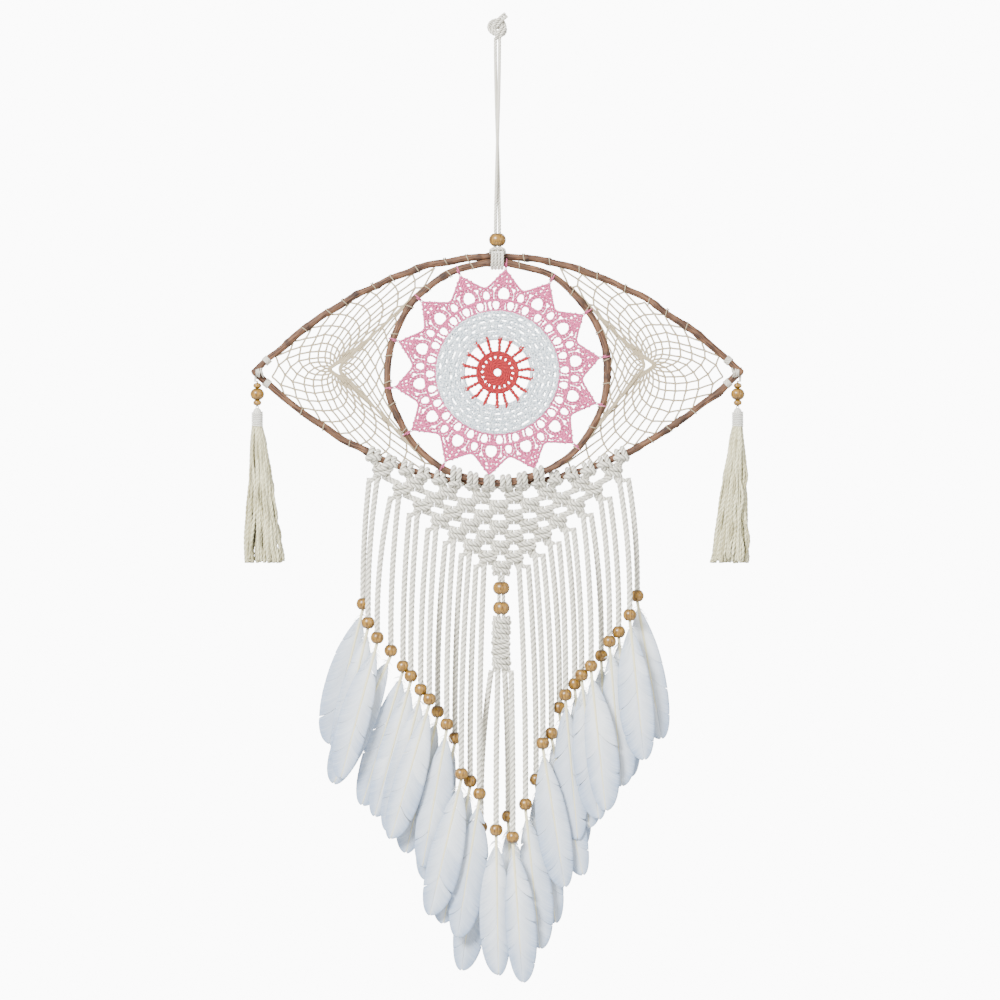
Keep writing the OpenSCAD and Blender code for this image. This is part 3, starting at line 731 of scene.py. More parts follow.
def net(side, centre, seed):
    """Rounds k = 0 to ROUNDS of nodes: the edge's point at (i + k / 2) / ANCHORS, drawn in towards
    the centre to (1 - k / (ROUNDS + 1)) ** 1.08 of the way. Each node hangs from two of the round
    before, and a small knot sits on it."""
    rng = np.random.default_rng(seed)
    edge = net_edge(side, 2 * ANCHORS)
    k, i = np.meshgrid(np.arange(ROUNDS + 1), np.arange(ANCHORS), indexing="ij")
    middle = np.array([centre[0], 0.0, centre[1]])
    share = (1 - k / (ROUNDS + 1)) ** 1.08
    nodes = middle + (edge[(2 * i + k) % (2 * ANCHORS)] - middle) * share[..., None]
    nodes[1:] += rng.normal(0, 0.55 * MM, nodes[1:].shape) * (1, 0.4, 1) * share[1:, :, None]
    outer, inner = nodes[:-1], nodes[1:]
    starts = np.concatenate([outer.reshape(-1, 3), np.roll(outer, -1, axis=1).reshape(-1, 3)])
    ends = np.concatenate([inner.reshape(-1, 3)] * 2)
    t = np.linspace(0, 1, 5)[:, None]
    sag = np.sin(np.pi * t) * 0.035 * np.linalg.norm(ends - starts, axis=1)[:, None, None]
    inward = unit(middle - (starts + ends) / 2)[:, None]
    lines = starts[:, None] + (ends - starts)[:, None] * t + sag * inward
    last = nodes[-1]
    ring = smooth_through(last, 3 * ANCHORS, closed=True)
    knots = nodes[1:-2].reshape(-1, 3)
    along = unit((np.roll(nodes, -1, axis=1) - nodes)[1:-2].reshape(-1, 3))
    length = np.array([-1, -0.5, 0.5, 1])[:, None] * 0.9 * MM
    knot_lines = knots[:, None] + along[:, None] * length
    return gather(sheath(lines, MESH_THREAD, sides=6),
                  sheath(knot_lines, np.array([0.35, 0.85, 0.85, 0.35]) * MM, sides=7),
                  sheath(ring[None], MESH_THREAD * 1.2, sides=6, closed=True))


piece("left_net", net(-1, NET_CENTRES["left"], 71), net_thread, "eye", ["left_web"])
piece("right_net", net(1, NET_CENTRES["right"], 72), net_thread, "eye", ["right_web"])


# ---- Doily: red centre, pale fluffy ring and pink border, crocheted in rounds ----
# Cotton yarn, worked outwards: columns of tall stitches stand on rounds of chain. The red centre
# ends in 18 spokes, the ring is of soft pale yarn, and the pink border ends in 14 points.
YARN = 0.95 * MM


def polar(a, r, y=0.0):
    """Points at angle a from +X towards +Z and radius r about the doily's middle, at depth y."""
    a, r, y = np.broadcast_arrays(a, r, y)
    return np.stack([r * np.cos(a), y, eye_z + r * np.sin(a)], axis=-1)


def columns(a, low, high, thick, lean=0.0, puff=0.0, knob=0.0, count=13, seed=1):
    """Tall stitches: tubes from radius low to high at angles a. lean turns the outer end, puff
    pushes the middle forward, knob makes the tube swell three times along its length."""
    rng = np.random.default_rng(seed)
    a, low, high, lean = (np.broadcast_to(v, np.shape(a)).astype(float) for v in (a, low, high, lean))
    t = np.linspace(0, 1, count)
    way = a[:, None] + (lean + rng.normal(0, 0.012, len(a)))[:, None] * t \
        + rng.normal(0, 0.006, (len(a), 1)) * np.sin(np.pi * t)
    out = low[:, None] + (high - low)[:, None] * t
    depth = rng.normal(0, 0.18 * MM, (len(a), 1)) - puff * np.sin(np.pi * t)
    swell = 1 + knob * np.cos(6 * np.pi * t)
    return sheath(polar(way, out, depth), thick * swell[None] * np.ones((len(a), 1)), sides=8, plies=2,
                  pitch=5.0 * MM, groove=0.32, phase=rng.uniform(0, 6, len(a)))


def chain(r, stitches, thick, wave=0.55 * MM, seed=1):
    """A round of chain: two yarns wave across radius r and in depth, half a stitch apart, so that
    they cross and lock."""
    rng = np.random.default_rng(seed)
    a = np.linspace(0, 2 * np.pi, stitches * 7, endpoint=False)
    shift = np.array([[0.0], [np.pi]]) + rng.uniform(0, 6)
    return sheath(polar(a, r + wave * np.sin(stitches * a + shift),
                        0.9 * wave * np.cos(stitches * a + shift)),
                  thick, sides=8, plies=2, pitch=5.0 * MM, groove=0.32, closed=True)


def rings(a, r, wide, tall, thick, turn=0.0, point=0.0, count=44):
    """Loops round holes: ellipses wide by tall at angle a and radius r. point narrows the inner end
    to an egg's, and a slow wave in depth makes the stitches go over and under."""
    a, r, wide, tall = (np.broadcast_to(v, np.shape(a)).astype(float)[:, None] for v in (a, r, wide, tall))
    v = np.linspace(0, 2 * np.pi, count, endpoint=False)
    across = wide * np.cos(v) * (1 + point * np.sin(v))
    out = tall * np.sin(v)
    depth = 0.3 * MM * np.sin(5 * v + turn)
    centre_r = r + out
    return sheath(polar(a + across / centre_r, centre_r, depth), thick, sides=8, plies=2, pitch=5.0 * MM,
                  groove=0.32, closed=True)


red = spun("red_yarn", light=(0.42, 0.003, 0.010), dark=(0.09, 0.0006, 0.002), across=2200, along=300)
n = 18
spread = np.arange(n) * 2 * np.pi / n + 0.13
both = np.concatenate([spread - 0.062, spread + 0.062])
rng = np.random.default_rng(8)
spoke = spread + rng.normal(0, 0.018, n)
red_shape = gather(
    chain(3.9 * MM, 16, YARN, seed=2), chain(5.6 * MM, 20, YARN, seed=3),
    columns(spread, 4.4 * MM, 9.2 * MM, 1.05 * MM, knob=0.08, seed=4),
    chain(9.2 * MM, 30, YARN, seed=5), chain(7.5 * MM, 26, YARN, seed=15),
    columns(both, 9.4 * MM, 13.2 * MM, 0.95 * MM, knob=0.1, seed=6),
    chain(13.4 * MM, 40, YARN, seed=7), chain(14.9 * MM, 44, YARN, seed=8),
    columns(spoke, 14.6 * MM, (26.3 + rng.uniform(-0.6, 0.6, n)) * MM, 1.5 * MM, lean=rng.normal(0, 0.02, n),
            knob=0.12, count=22, seed=9),
    columns(spoke - 0.012, 23.6 * MM, 27.4 * MM, 1.2 * MM, lean=-0.02, puff=0.6 * MM, seed=10),
    columns(spoke + 0.012, 23.6 * MM, 27.2 * MM, 1.2 * MM, lean=0.03, puff=0.2 * MM, seed=11))
piece("doily_red_centre", red_shape, red, "eye", ["doily_centre"])

# Painted shade: dark is the blue-grey shade that spun lays in the grooves of the pale yarn.
pale = spun("pale_yarn", light=(0.84, 0.91, 0.95), dark=(0.07, 0.15, 0.24), across=1500, along=350,
            sheen=0.5, bump=0.6, depth=0.0003)
bands = []
for low, high, n, seed in ((25.4, 29.4, 44, 20), (29.0, 33.2, 50, 21), (32.8, 37.2, 58, 22),
                           (36.8, 41.2, 66, 23), (40.8, 45.4, 74, 24)):
    rng = np.random.default_rng(seed)
    a = np.arange(n) * 2 * np.pi / n + rng.normal(0, 0.02, n)
    bands.append(columns(a, low * MM, high * MM, 1.28 * MM,
                         lean=0.06 * (-1) ** np.arange(n) + rng.normal(0, 0.03, n),
                         puff=0.5 * MM, knob=0.16, seed=seed))
    bands.append(chain((high - 0.2) * MM, n, 0.98 * MM, wave=0.85 * MM, seed=seed))
bands.append(chain(25.6 * MM, 50, 0.9 * MM, wave=0.7 * MM, seed=30))
rng = np.random.default_rng(31)
loops = 900
a = rng.uniform(0, 2 * np.pi, loops)
r = np.sqrt(rng.uniform(25.5 ** 2, 45.5 ** 2, loops)) * MM
t = np.linspace(-1, 1, 6)
face = np.where(rng.uniform(size=loops) < 0.5, -1, 1)[:, None]
curl = rng.uniform(0, np.pi, (loops, 1))
reach = rng.uniform(0.9, 1.7, (loops, 1)) * MM
fuzz = polar(a[:, None] + reach * t * np.cos(curl) / r[:, None],
             r[:, None] + reach * (t * np.sin(curl) + 0.5 * t ** 2),
             face * (0.75 + rng.uniform(0.3, 0.9, (loops, 1)) * (1 - t ** 2)) * MM)
bands.append(sheath(fuzz, 0.42 * MM, sides=5))
piece("doily_pale_ring", gather(*bands), pale, "eye", ["doily_ring"])

pink = spun("pink_yarn", light=(0.76, 0.13, 0.31), dark=(0.14, 0.006, 0.035), across=2200, along=300)
POINTS = 14
TIP_ANGLE = math.radians(85.4)
TIP_R = 77.3 * MM
VALLEY_R = 64.0 * MM
sector = 2 * np.pi / POINTS
tips = TIP_ANGLE + np.arange(POINTS) * sector


def outline(a):
    """The border's outer radius: it falls from each tip to the valleys as the 1.4th power of how
    near the valley is."""
    near_tip = 1 - np.abs((a - TIP_ANGLE + sector / 2) % sector - sector / 2) / (sector / 2)
    return VALLEY_R + (TIP_R - VALLEY_R) * near_tip ** 1.4


eggs = TIP_ANGLE + (np.arange(2 * POINTS) + 0.5) * sector / 2
rng = np.random.default_rng(41)
lace = [chain(46.4 * MM, 72, 0.8 * MM, seed=42), chain(54.3 * MM, 84, 0.8 * MM, seed=43),
        rings(eggs + rng.normal(0, 0.008, len(eggs)), 50.2 * MM, 3.1 * MM, 4.0 * MM, 0.95 * MM, point=0.25),
        columns(eggs + sector / 4 - 0.014, 46.2 * MM, 54.2 * MM, 1.05 * MM, knob=0.12, seed=44),
        columns(eggs + sector / 4 + 0.014, 46.2 * MM, 54.2 * MM, 1.05 * MM, knob=0.12, seed=45),
        rings(tips, 59.2 * MM, 4.9 * MM, 5.2 * MM, 1.0 * MM, point=-0.12),
        rings(tips, 59.3 * MM, 6.5 * MM, 6.8 * MM, 1.0 * MM, turn=2.0, point=-0.12),
        rings(tips + sector / 2, 58.0 * MM, 3.2 * MM, 3.8 * MM, 0.95 * MM),
        rings(tips + sector / 2, 58.6 * MM, 4.8 * MM, 5.2 * MM, 0.95 * MM, turn=1.0)]
for share, low in ((0.36, 60.6), (-0.36, 60.6)):
    lace.append(rings(tips + share * sector, low * MM, 1.6 * MM, 2.0 * MM, 0.85 * MM, count=24))
across = np.linspace(-0.94, 0.94, 15) * sector / 2
for index, offset in enumerate(across):
    a = tips + offset
    low = np.where(abs(offset) < 0.3 * sector / 2, 65.6, 64.6 - 2.2 * (abs(offset) / (sector / 2))) * MM
    high = outline(a) - 0.9 * MM
    if high[0] - low > 2.2 * MM:
        lace.append(columns(a, low, high, 1.12 * MM, lean=-0.25 * offset, knob=0.14, seed=50 + index))
edge_a = TIP_ANGLE + np.linspace(0, 2 * np.pi, POINTS * 72, endpoint=False)
stitch = np.array([[0.0], [np.pi]]) + edge_a * POINTS * 13
lace.append(sheath(polar(edge_a, outline(edge_a) - 0.8 * MM + 0.45 * MM * np.sin(stitch),
                         0.5 * MM * np.cos(stitch)),
                   0.85 * MM, sides=8, plies=2, pitch=5.0 * MM, groove=0.32, closed=True))
for r, half in ((67.2, 0.62), (70.4, 0.42), (73.2, 0.26)):
    a = tips[:, None] + np.linspace(-half, half, 14) * sector / 2
    wave = np.arange(14) * np.pi / 2
    for shift in (0, np.pi):
        lace.append(sheath(polar(a, (r + 0.5 * np.sin(wave + shift)) * MM, 0.55 * MM * np.cos(wave + shift)),
                           0.8 * MM, sides=8, plies=2, pitch=5.0 * MM, groove=0.32))
piece("doily_pink_border", gather(*lace), pink, "eye", ["doily_border"])

# Each point is tied to the hoop with a turn and a short end of its own yarn.
free = tips[(np.sin(tips) > 0) | (np.abs(hoop_r * np.cos(tips)) > 36 * MM)]
middles = hoop_at(free)
runs = unit(hoop_at(free + 1e-3) - hoop_at(free - 1e-3))
ties = sheath(wound(middles, runs, stem_r * 1.17, 1.5, 1.1 * MM, 60), 0.5 * MM, sides=8,
              facing=np.array([0.3, 0.9, 0.2]), plies=2, pitch=4.0 * MM)
t = np.linspace(0, 1, 8)
links = np.concatenate([polar(free[:, None] + s * 0.012 * (1 - t), (76.4 + 4.2 * t) * MM, s * 0.4 * MM)
                        for s in (-1, 1)])
ties = gather(ties, sheath(links, 0.45 * MM, sides=8, plies=2, pitch=4.0 * MM))
piece("doily_point_ties", ties, pink, "eye", ["doily_ties"])


# ---- Lark's heads: sixteen cords folded over the lower rib ----
# Each thick cotton cord is folded in half over the stem and its ends pulled through the fold, which
# leaves two wraps side by side and a bar across them. The middle ones take in the hoop as well.
ROPE = 2.2 * MM
HEADS = 16
HEAD_PITCH = 12.4 * MM
WRAP_APART = 4.3 * MM
BOTH_STEMS = 34 * MM
x = (np.arange(HEADS) - (HEADS - 1) / 2) * HEAD_PITCH
wrap_x = (x[:, None] + np.array([-0.5, 0.5]) * WRAP_APART).ravel()
rib = lower_rib_at(wrap_x)
both_stems = np.repeat(np.abs(x) < BOTH_STEMS, 2)
slope = 2 * LOWER_SAG * wrap_x / half_span ** 2
hoop_bottom = eye_z - np.sqrt(hoop_r ** 2 - np.minimum(np.abs(wrap_x), BOTH_STEMS * 1.3) ** 2)
turn = np.linspace(0, 2 * np.pi, 40, endpoint=False)
reach = stem_r + ROPE * 0.66
round_y = reach * np.cos(turn)
round_z = reach * np.sin(turn)
# Round one stem a wrap is a circle. Round both, its upper front half is moved onto the hoop.
share = np.clip((round_z / reach - 0.6 * round_y / reach + 0.2) / 0.6 + 0.5, 0, 1) * both_stems[:, None]
wraps = np.stack([rib[:, :1] - slope[:, None] * round_z * 0.9,
                  lower_back + round_y - lower_back * share,
                  rib[:, 2:] + round_z + (hoop_bottom - rib[:, 2])[:, None] * share], axis=-1)
wraps[..., 0] += np.random.default_rng(60).normal(0, 0.12 * MM, (2 * HEADS, 1))
rib_mid = lower_rib_at(x)
bars = np.stack([np.array([(-4.6, 2.0, -1.6), (-4.2, -3.6, -2.2), (-1.8, -5.6, -1.4), (1.8, -5.6, -1.4),
                           (4.2, -3.6, -2.2), (4.6, 2.0, -1.6)]) * MM + middle
                 for middle in rib_mid + np.stack([0 * x, 0 * x, 0 * x], axis=1)])
heads = gather(sheath(wraps, ROPE * 0.98, sides=12, facing=ACROSS, plies=3, pitch=10 * MM, groove=0.24,
                      closed=True),
               sheath(smooth_through(bars, 26), ROPE * 0.9, sides=12, plies=3, pitch=10 * MM, groove=0.24))
piece("larks_heads_cord", heads, cotton, "eye", ["larks_heads"])


# ---- Macrame panel: eight rows of square knots, one fewer in each row ----
# Four cords make each knot: two hang straight as a core, and the outer two are tied round it, left
# over right and right over left. Between rows every knot parts its cords to both neighbours.
ROWS = 8
FIRST_KNOT = 9.4 * MM
ROW_PITCH = 7.6 * MM
KNOT_HALF = 4.1 * MM
SHIFT = 0.4 * MM


def knot_places(j):
    """Row j's knots: evenly spaced, a little closer in each row, hung below the lower rib."""
    count = ROWS - j
    x = (np.arange(count) - (count - 1) / 2) * (24.8 - 0.9 * j) * MM
    z = lower_rib_at(x)[:, 2] - FIRST_KNOT - ROW_PITCH * j
    return np.stack([x + SHIFT * j, np.full(count, lower_back), z], axis=1)


# The tying cords' routes about a knot's middle, in millimetres: front is -Y.
OVER = np.array([(-4.6, 0.4, 5.4), (-5.0, -0.6, 3.4), (-2.2, -2.9, 2.4), (2.2, -3.0, 1.9), (5.6, -0.8, 1.4),
                 (5.2, 1.6, 0.2), (1.8, 2.7, -1.0), (-2.6, 2.4, -1.8), (-5.2, 0.6, -3.2),
                 (-4.4, 0.2, -5.4)]) * MM
UNDER = np.array([(4.6, 0.4, 5.4), (5.0, 1.2, 3.4), (2.0, 2.8, 2.4), (-2.4, 2.2, 1.6), (-5.6, -0.2, 0.8),
                  (-5.0, -2.0, -0.4), (-1.8, -3.1, -1.4), (2.4, -2.8, -2.0), (5.2, -0.8, -3.0),
                  (4.4, 0.2, -5.4)]) * MM


def square_knots(middles, seed, scale=1.0):
    """Square knots: two core cords and the two tying cords' routes, moved to every middle. Every
    second knot is the mirror of the first."""
    rng = np.random.default_rng(seed)
    flip = np.where(rng.uniform(size=len(middles)) < 0.5, -1.0, 1.0)[:, None, None]
    wobble = rng.normal(0, 0.22 * MM, (len(middles), 1, 3))
    mirror = np.concatenate([flip, np.ones_like(flip), np.ones_like(flip)], axis=-1)
    size = np.array([scale, 1.0, 1.0])
    ties = np.concatenate([smooth_through(route * size * mirror + middles[:, None] + wobble, 34)
                           for route in (OVER, UNDER)])
    core = np.array([(0, 0, 5.6), (0.1, -0.3, 2), (-0.1, -0.3, -2), (0, 0, -5.6)]) * MM
    cores = np.concatenate([smooth_through(core + (s * 1.9 * MM * scale, 0, 0) + middles[:, None],
                                           12) for s in (-1, 1)])
    return gather(sheath(ties, ROPE * 0.88, sides=12, plies=3, pitch=9 * MM, groove=0.24),
                  sheath(cores, ROPE * 0.86, sides=10, plies=3, pitch=10 * MM, groove=0.24))


def legs(starts, ends, depth, seed):
    """Cords from one knot to the next: an S that leaves and arrives upright, some deeper."""
    rng = np.random.default_rng(seed)
    t = np.linspace(0, 1, 12)[:, None]
    ease = t * t * (3 - 2 * t)
    route = starts[:, None] + (ends - starts)[:, None] * np.concatenate([ease, ease, t], axis=1)
    route[..., 1] += (depth + rng.normal(0, 0.15 * MM, len(starts)))[:, None] * np.sin(np.pi * t[:, 0])
    return sheath(route, ROPE * 0.86, sides=10, plies=3, pitch=10 * MM, groove=0.24)


all_knots = np.concatenate([knot_places(j) for j in range(ROWS)])
parts = [square_knots(all_knots, 61)]
OUT = np.array([-5.0, -1.9, 1.9, 5.0]) * MM
top = knot_places(0)
head_legs_from = lower_rib_at(np.repeat((np.arange(HEADS) - (HEADS - 1) / 2) * HEAD_PITCH, 2)
                              + np.tile([-2.1 * MM, 2.1 * MM], HEADS)) - (0, 0.6 * MM, 3.4 * MM)
head_legs_to = (top[:, None] + np.stack([OUT * 0.9, 0 * OUT, 0 * OUT + 4.2 * MM], axis=1)).reshape(-1, 3)
parts.append(legs(head_legs_from, head_legs_to, np.zeros(len(head_legs_to)), 62))
for j in range(ROWS - 1):
    above, below = knot_places(j), knot_places(j + 1)
    for s, place in ((1, above[:-1]), (-1, above[1:])):
        for near, (x0, x1) in enumerate(((1.9, -5.0), (4.6, -1.9))):
            start = place + (s * x0 * MM, 0.3 * MM, -KNOT_HALF)
            end = below + (s * x1 * MM, 0.3 * MM, KNOT_HALF)
            parts.append(legs(start, end, np.full(len(end), (0.9 if s > 0 else -0.9) * MM), 63 + j + near))
for j in range(ROWS):
    # The outer cords of every row turn down into the fringe.
    knots_here = knot_places(j)
    for s, place in ((-1, knots_here[0]), (1, knots_here[-1])):
        start = place + np.array([(s * 1.9, 0.4, -4.2), (s * 4.6, 0.2, -4.0)]) * MM
        end = place + np.array([(s * 3.6, 0, -8.4), (s * 9.0, 0, -8.0)]) * MM
        if j < ROWS - 1:
            parts.append(legs(start, end, np.zeros(2), 80 + j))
piece("macrame_square_knots", gather(*parts), cotton, "eye", ["macrame_panel"])


# ---- Sennit: two beads and a braid of square knots under the lowest knot ----
# The lowest knot's four cords go through two wooden beads side by side, then are tied into a short
# braid of square knots that ends where the four middle cords hang free.
braid_low, braid_high = (np.array(c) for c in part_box("sennit_braid"))
sennit_x = (braid_low[0] + braid_high[0]) / 2
BRAID_TOP = -435 * MM
for name, bead_name, seed in (("sennit_upper_bead", "sennit_upper_bead_turned", 6),
                              ("sennit_lower_bead", "sennit_lower_bead_turned", 7)):
    low, high = (np.array(c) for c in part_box(name))
    piece(bead_name, turned_bead((low + high) / 2, high[0] - low[0], high[2] - low[2], 5.8 * MM, seed), wood,
          "sennit", [name])
rows = 5
step = (BRAID_TOP - braid_low[2]) / rows
braid_knots = np.stack([np.full(rows, sennit_x), np.full(rows, lower_back),
                        BRAID_TOP - step * (np.arange(rows) + 0.5)], axis=1)
strand_x = np.array([-1.3, -1.3, 1.3, 1.3]) * MM
strand_y = np.array([-1.3, 1.3, -1.3, 1.3]) * MM
starts = np.stack([sennit_x + strand_x, lower_back + strand_y, np.full(4, braid_high[2])], axis=1)
ends = np.stack([sennit_x + strand_x * 1.6, lower_back + strand_y * 0.6, np.full(4, BRAID_TOP - 3 * MM)],
                axis=1)
t = np.linspace(0, 1, 40)[:, None]
through = starts[:, None] + (ends - starts)[:, None] * t
braid = gather(square_knots(braid_knots, 64),
               sheath(through, 1.5 * MM, sides=12, plies=3, pitch=9 * MM, groove=0.24))
piece("sennit_knots", braid, cotton, "sennit", ["sennit_braid"])


# ---- Fringe: 32 free ropes, each with a wooden bead ----
# The panel's and the sennit's cords hang free: thick cotton rope of three plies. Each leaves the
# knots at its own height, eases outwards as it falls, and ends in the bore of a wooden bead.
ROPE_ACROSS = 4.6 * MM
SPREAD_SHARE = 0.85
INTO_BEAD = 3.5 * MM
LEAVE_Z = [-329.6, -343.4, -355.8, -366.8, -376.9, -386, -394.5, -474]
# Each rope: where it starts along X, its bead's X, Y and Z in millimetres, and the feather's lean.
ROPES = [
    [[-96, -101, 11, -424, -14], [-90, -97, 3, -438, -13], [98, 105, 11, -418, 10], [91, 99, -1, -432, 6]],
    [[-80, -90, -1, -449, -15], [-74, -80, 7, -459, -24], [84, 91, 7, -445, 5], [77, 84, 3, -452, 5]],
    [[-66, -71, 11, -471, -17], [-60, -65, 7, -478, -15], [70, 78, 11, -463, 3], [64, 70, -4.5, -470, 6]],
    [[-52, -57.5, 3, -488, -14], [-46, -51, -1, -495, -16], [57, 63, -1, -477, 7], [51, 58, 7.5, -484, 6]],
    [[-39, -45, 11, -505, -13], [-33, -38, 3, -514, -10], [46, 51, 3, -492, 5], [39, 46.5, 11, -502, 8]],
    [[-27, -32, 13.5, -525, -12], [-21, -27, -1, -551, -13], [34, 40.5, 5.1, -521, 13],
     [28, 34, -1, -528, 9]],
    [[-16, -20.5, 7, -557, -11], [-10, -13.5, 3, -566, -9], [23, 29, 11, -556, 8], [16, 21, 3, -574, 6]],
    [[-4.7, -12.4, 15, -592, -8], [0.3, -1, -1, -593, 1], [5.3, 8, 15, -584, 3], [10.3, 11.5, -5, -598, 4]]]


def rope_route(start_x, bead, top, count):
    """A rope's middle line: it falls evenly from its top to its bead, and goes sideways and back as
    2e - e * e, where e grows with the fall and reaches 1 at SPREAD_SHARE of it."""
    t = np.linspace(0, 1, count)
    e = np.minimum(t / SPREAD_SHARE, 1)
    e = e * (2 - e)
    return np.stack([start_x + (bead[0] - start_x) * e, lower_back + (bead[1] - lower_back) * e,
                     top + (bead[2] - INTO_BEAD - top) * t], axis=1)


bead_h = 8.6 * MM
for k, group in enumerate(ROPES):
    body = "drop_%d" % (k + 1)
    beads = []
    for index, (start_x, x, y, z, lean) in enumerate(group):
        bead = np.array([x, y, z]) * MM
        route = rope_route(start_x * MM, bead, LEAVE_Z[k] * MM, 200)
        rope = sheath(route[None], ROPE_ACROSS / 2, sides=15, plies=3, pitch=12 * MM, groove=0.26,
                      phase=1.7 * index + k)
        strand = piece("%s_rope_%d" % (body, index + 1), rope, cotton, body, [body + "_cords"])
        beads.append(turned_bead(bead, 10 * MM, bead_h, 4.9 * MM, 100 + 10 * k + index, flat=0.53))
    piece(body + "_turned_beads", gather(*beads), wood, body, [body + "_beads"])


# ---- Feathers: a white goose feather under each bead ----
# The quill is glued into the bead. Two vanes of fine barbs stand on the cream shaft, one narrower
# than the other. The barbs cling together in clumps, parted by slits, and turn to down at the base.
QUILL = 4 * MM
VANE = 102 * MM
VANE_HALF = 16.5 * MM
CLUMPS = 5
BARBS = 40
EDGE = np.array([0, 0.12, 0.3, 0.5, 0.7, 0.87, 1.0])


def vane_half(t):
    """Half the vane's width at share t of its length: 1 - (1 - t) ** 3.8, times the root of
    1 - t ** 5 that rounds the tip."""
    return VANE_HALF * (1 - (1 - t) ** 3.8) * np.sqrt(np.maximum(1 - t ** 5, 0))


def laid(points, base, lean, twist, bow):
    """Feather points (x across, y back, z down from the base) turned about the shaft by twist,
    bowed back by bow * z * z, leaned in the X-Z plane, and moved to the base."""
    x, y, z = points[..., 0], points[..., 1], points[..., 2]
    x, y = x * np.cos(twist) - y * np.sin(twist), x * np.sin(twist) + y * np.cos(twist)
    y = y + bow * (z / VANE) ** 2
    return np.stack([x * np.cos(lean) - z * np.sin(lean), y, x * np.sin(lean) + z * np.cos(lean)],
                    axis=-1) + base


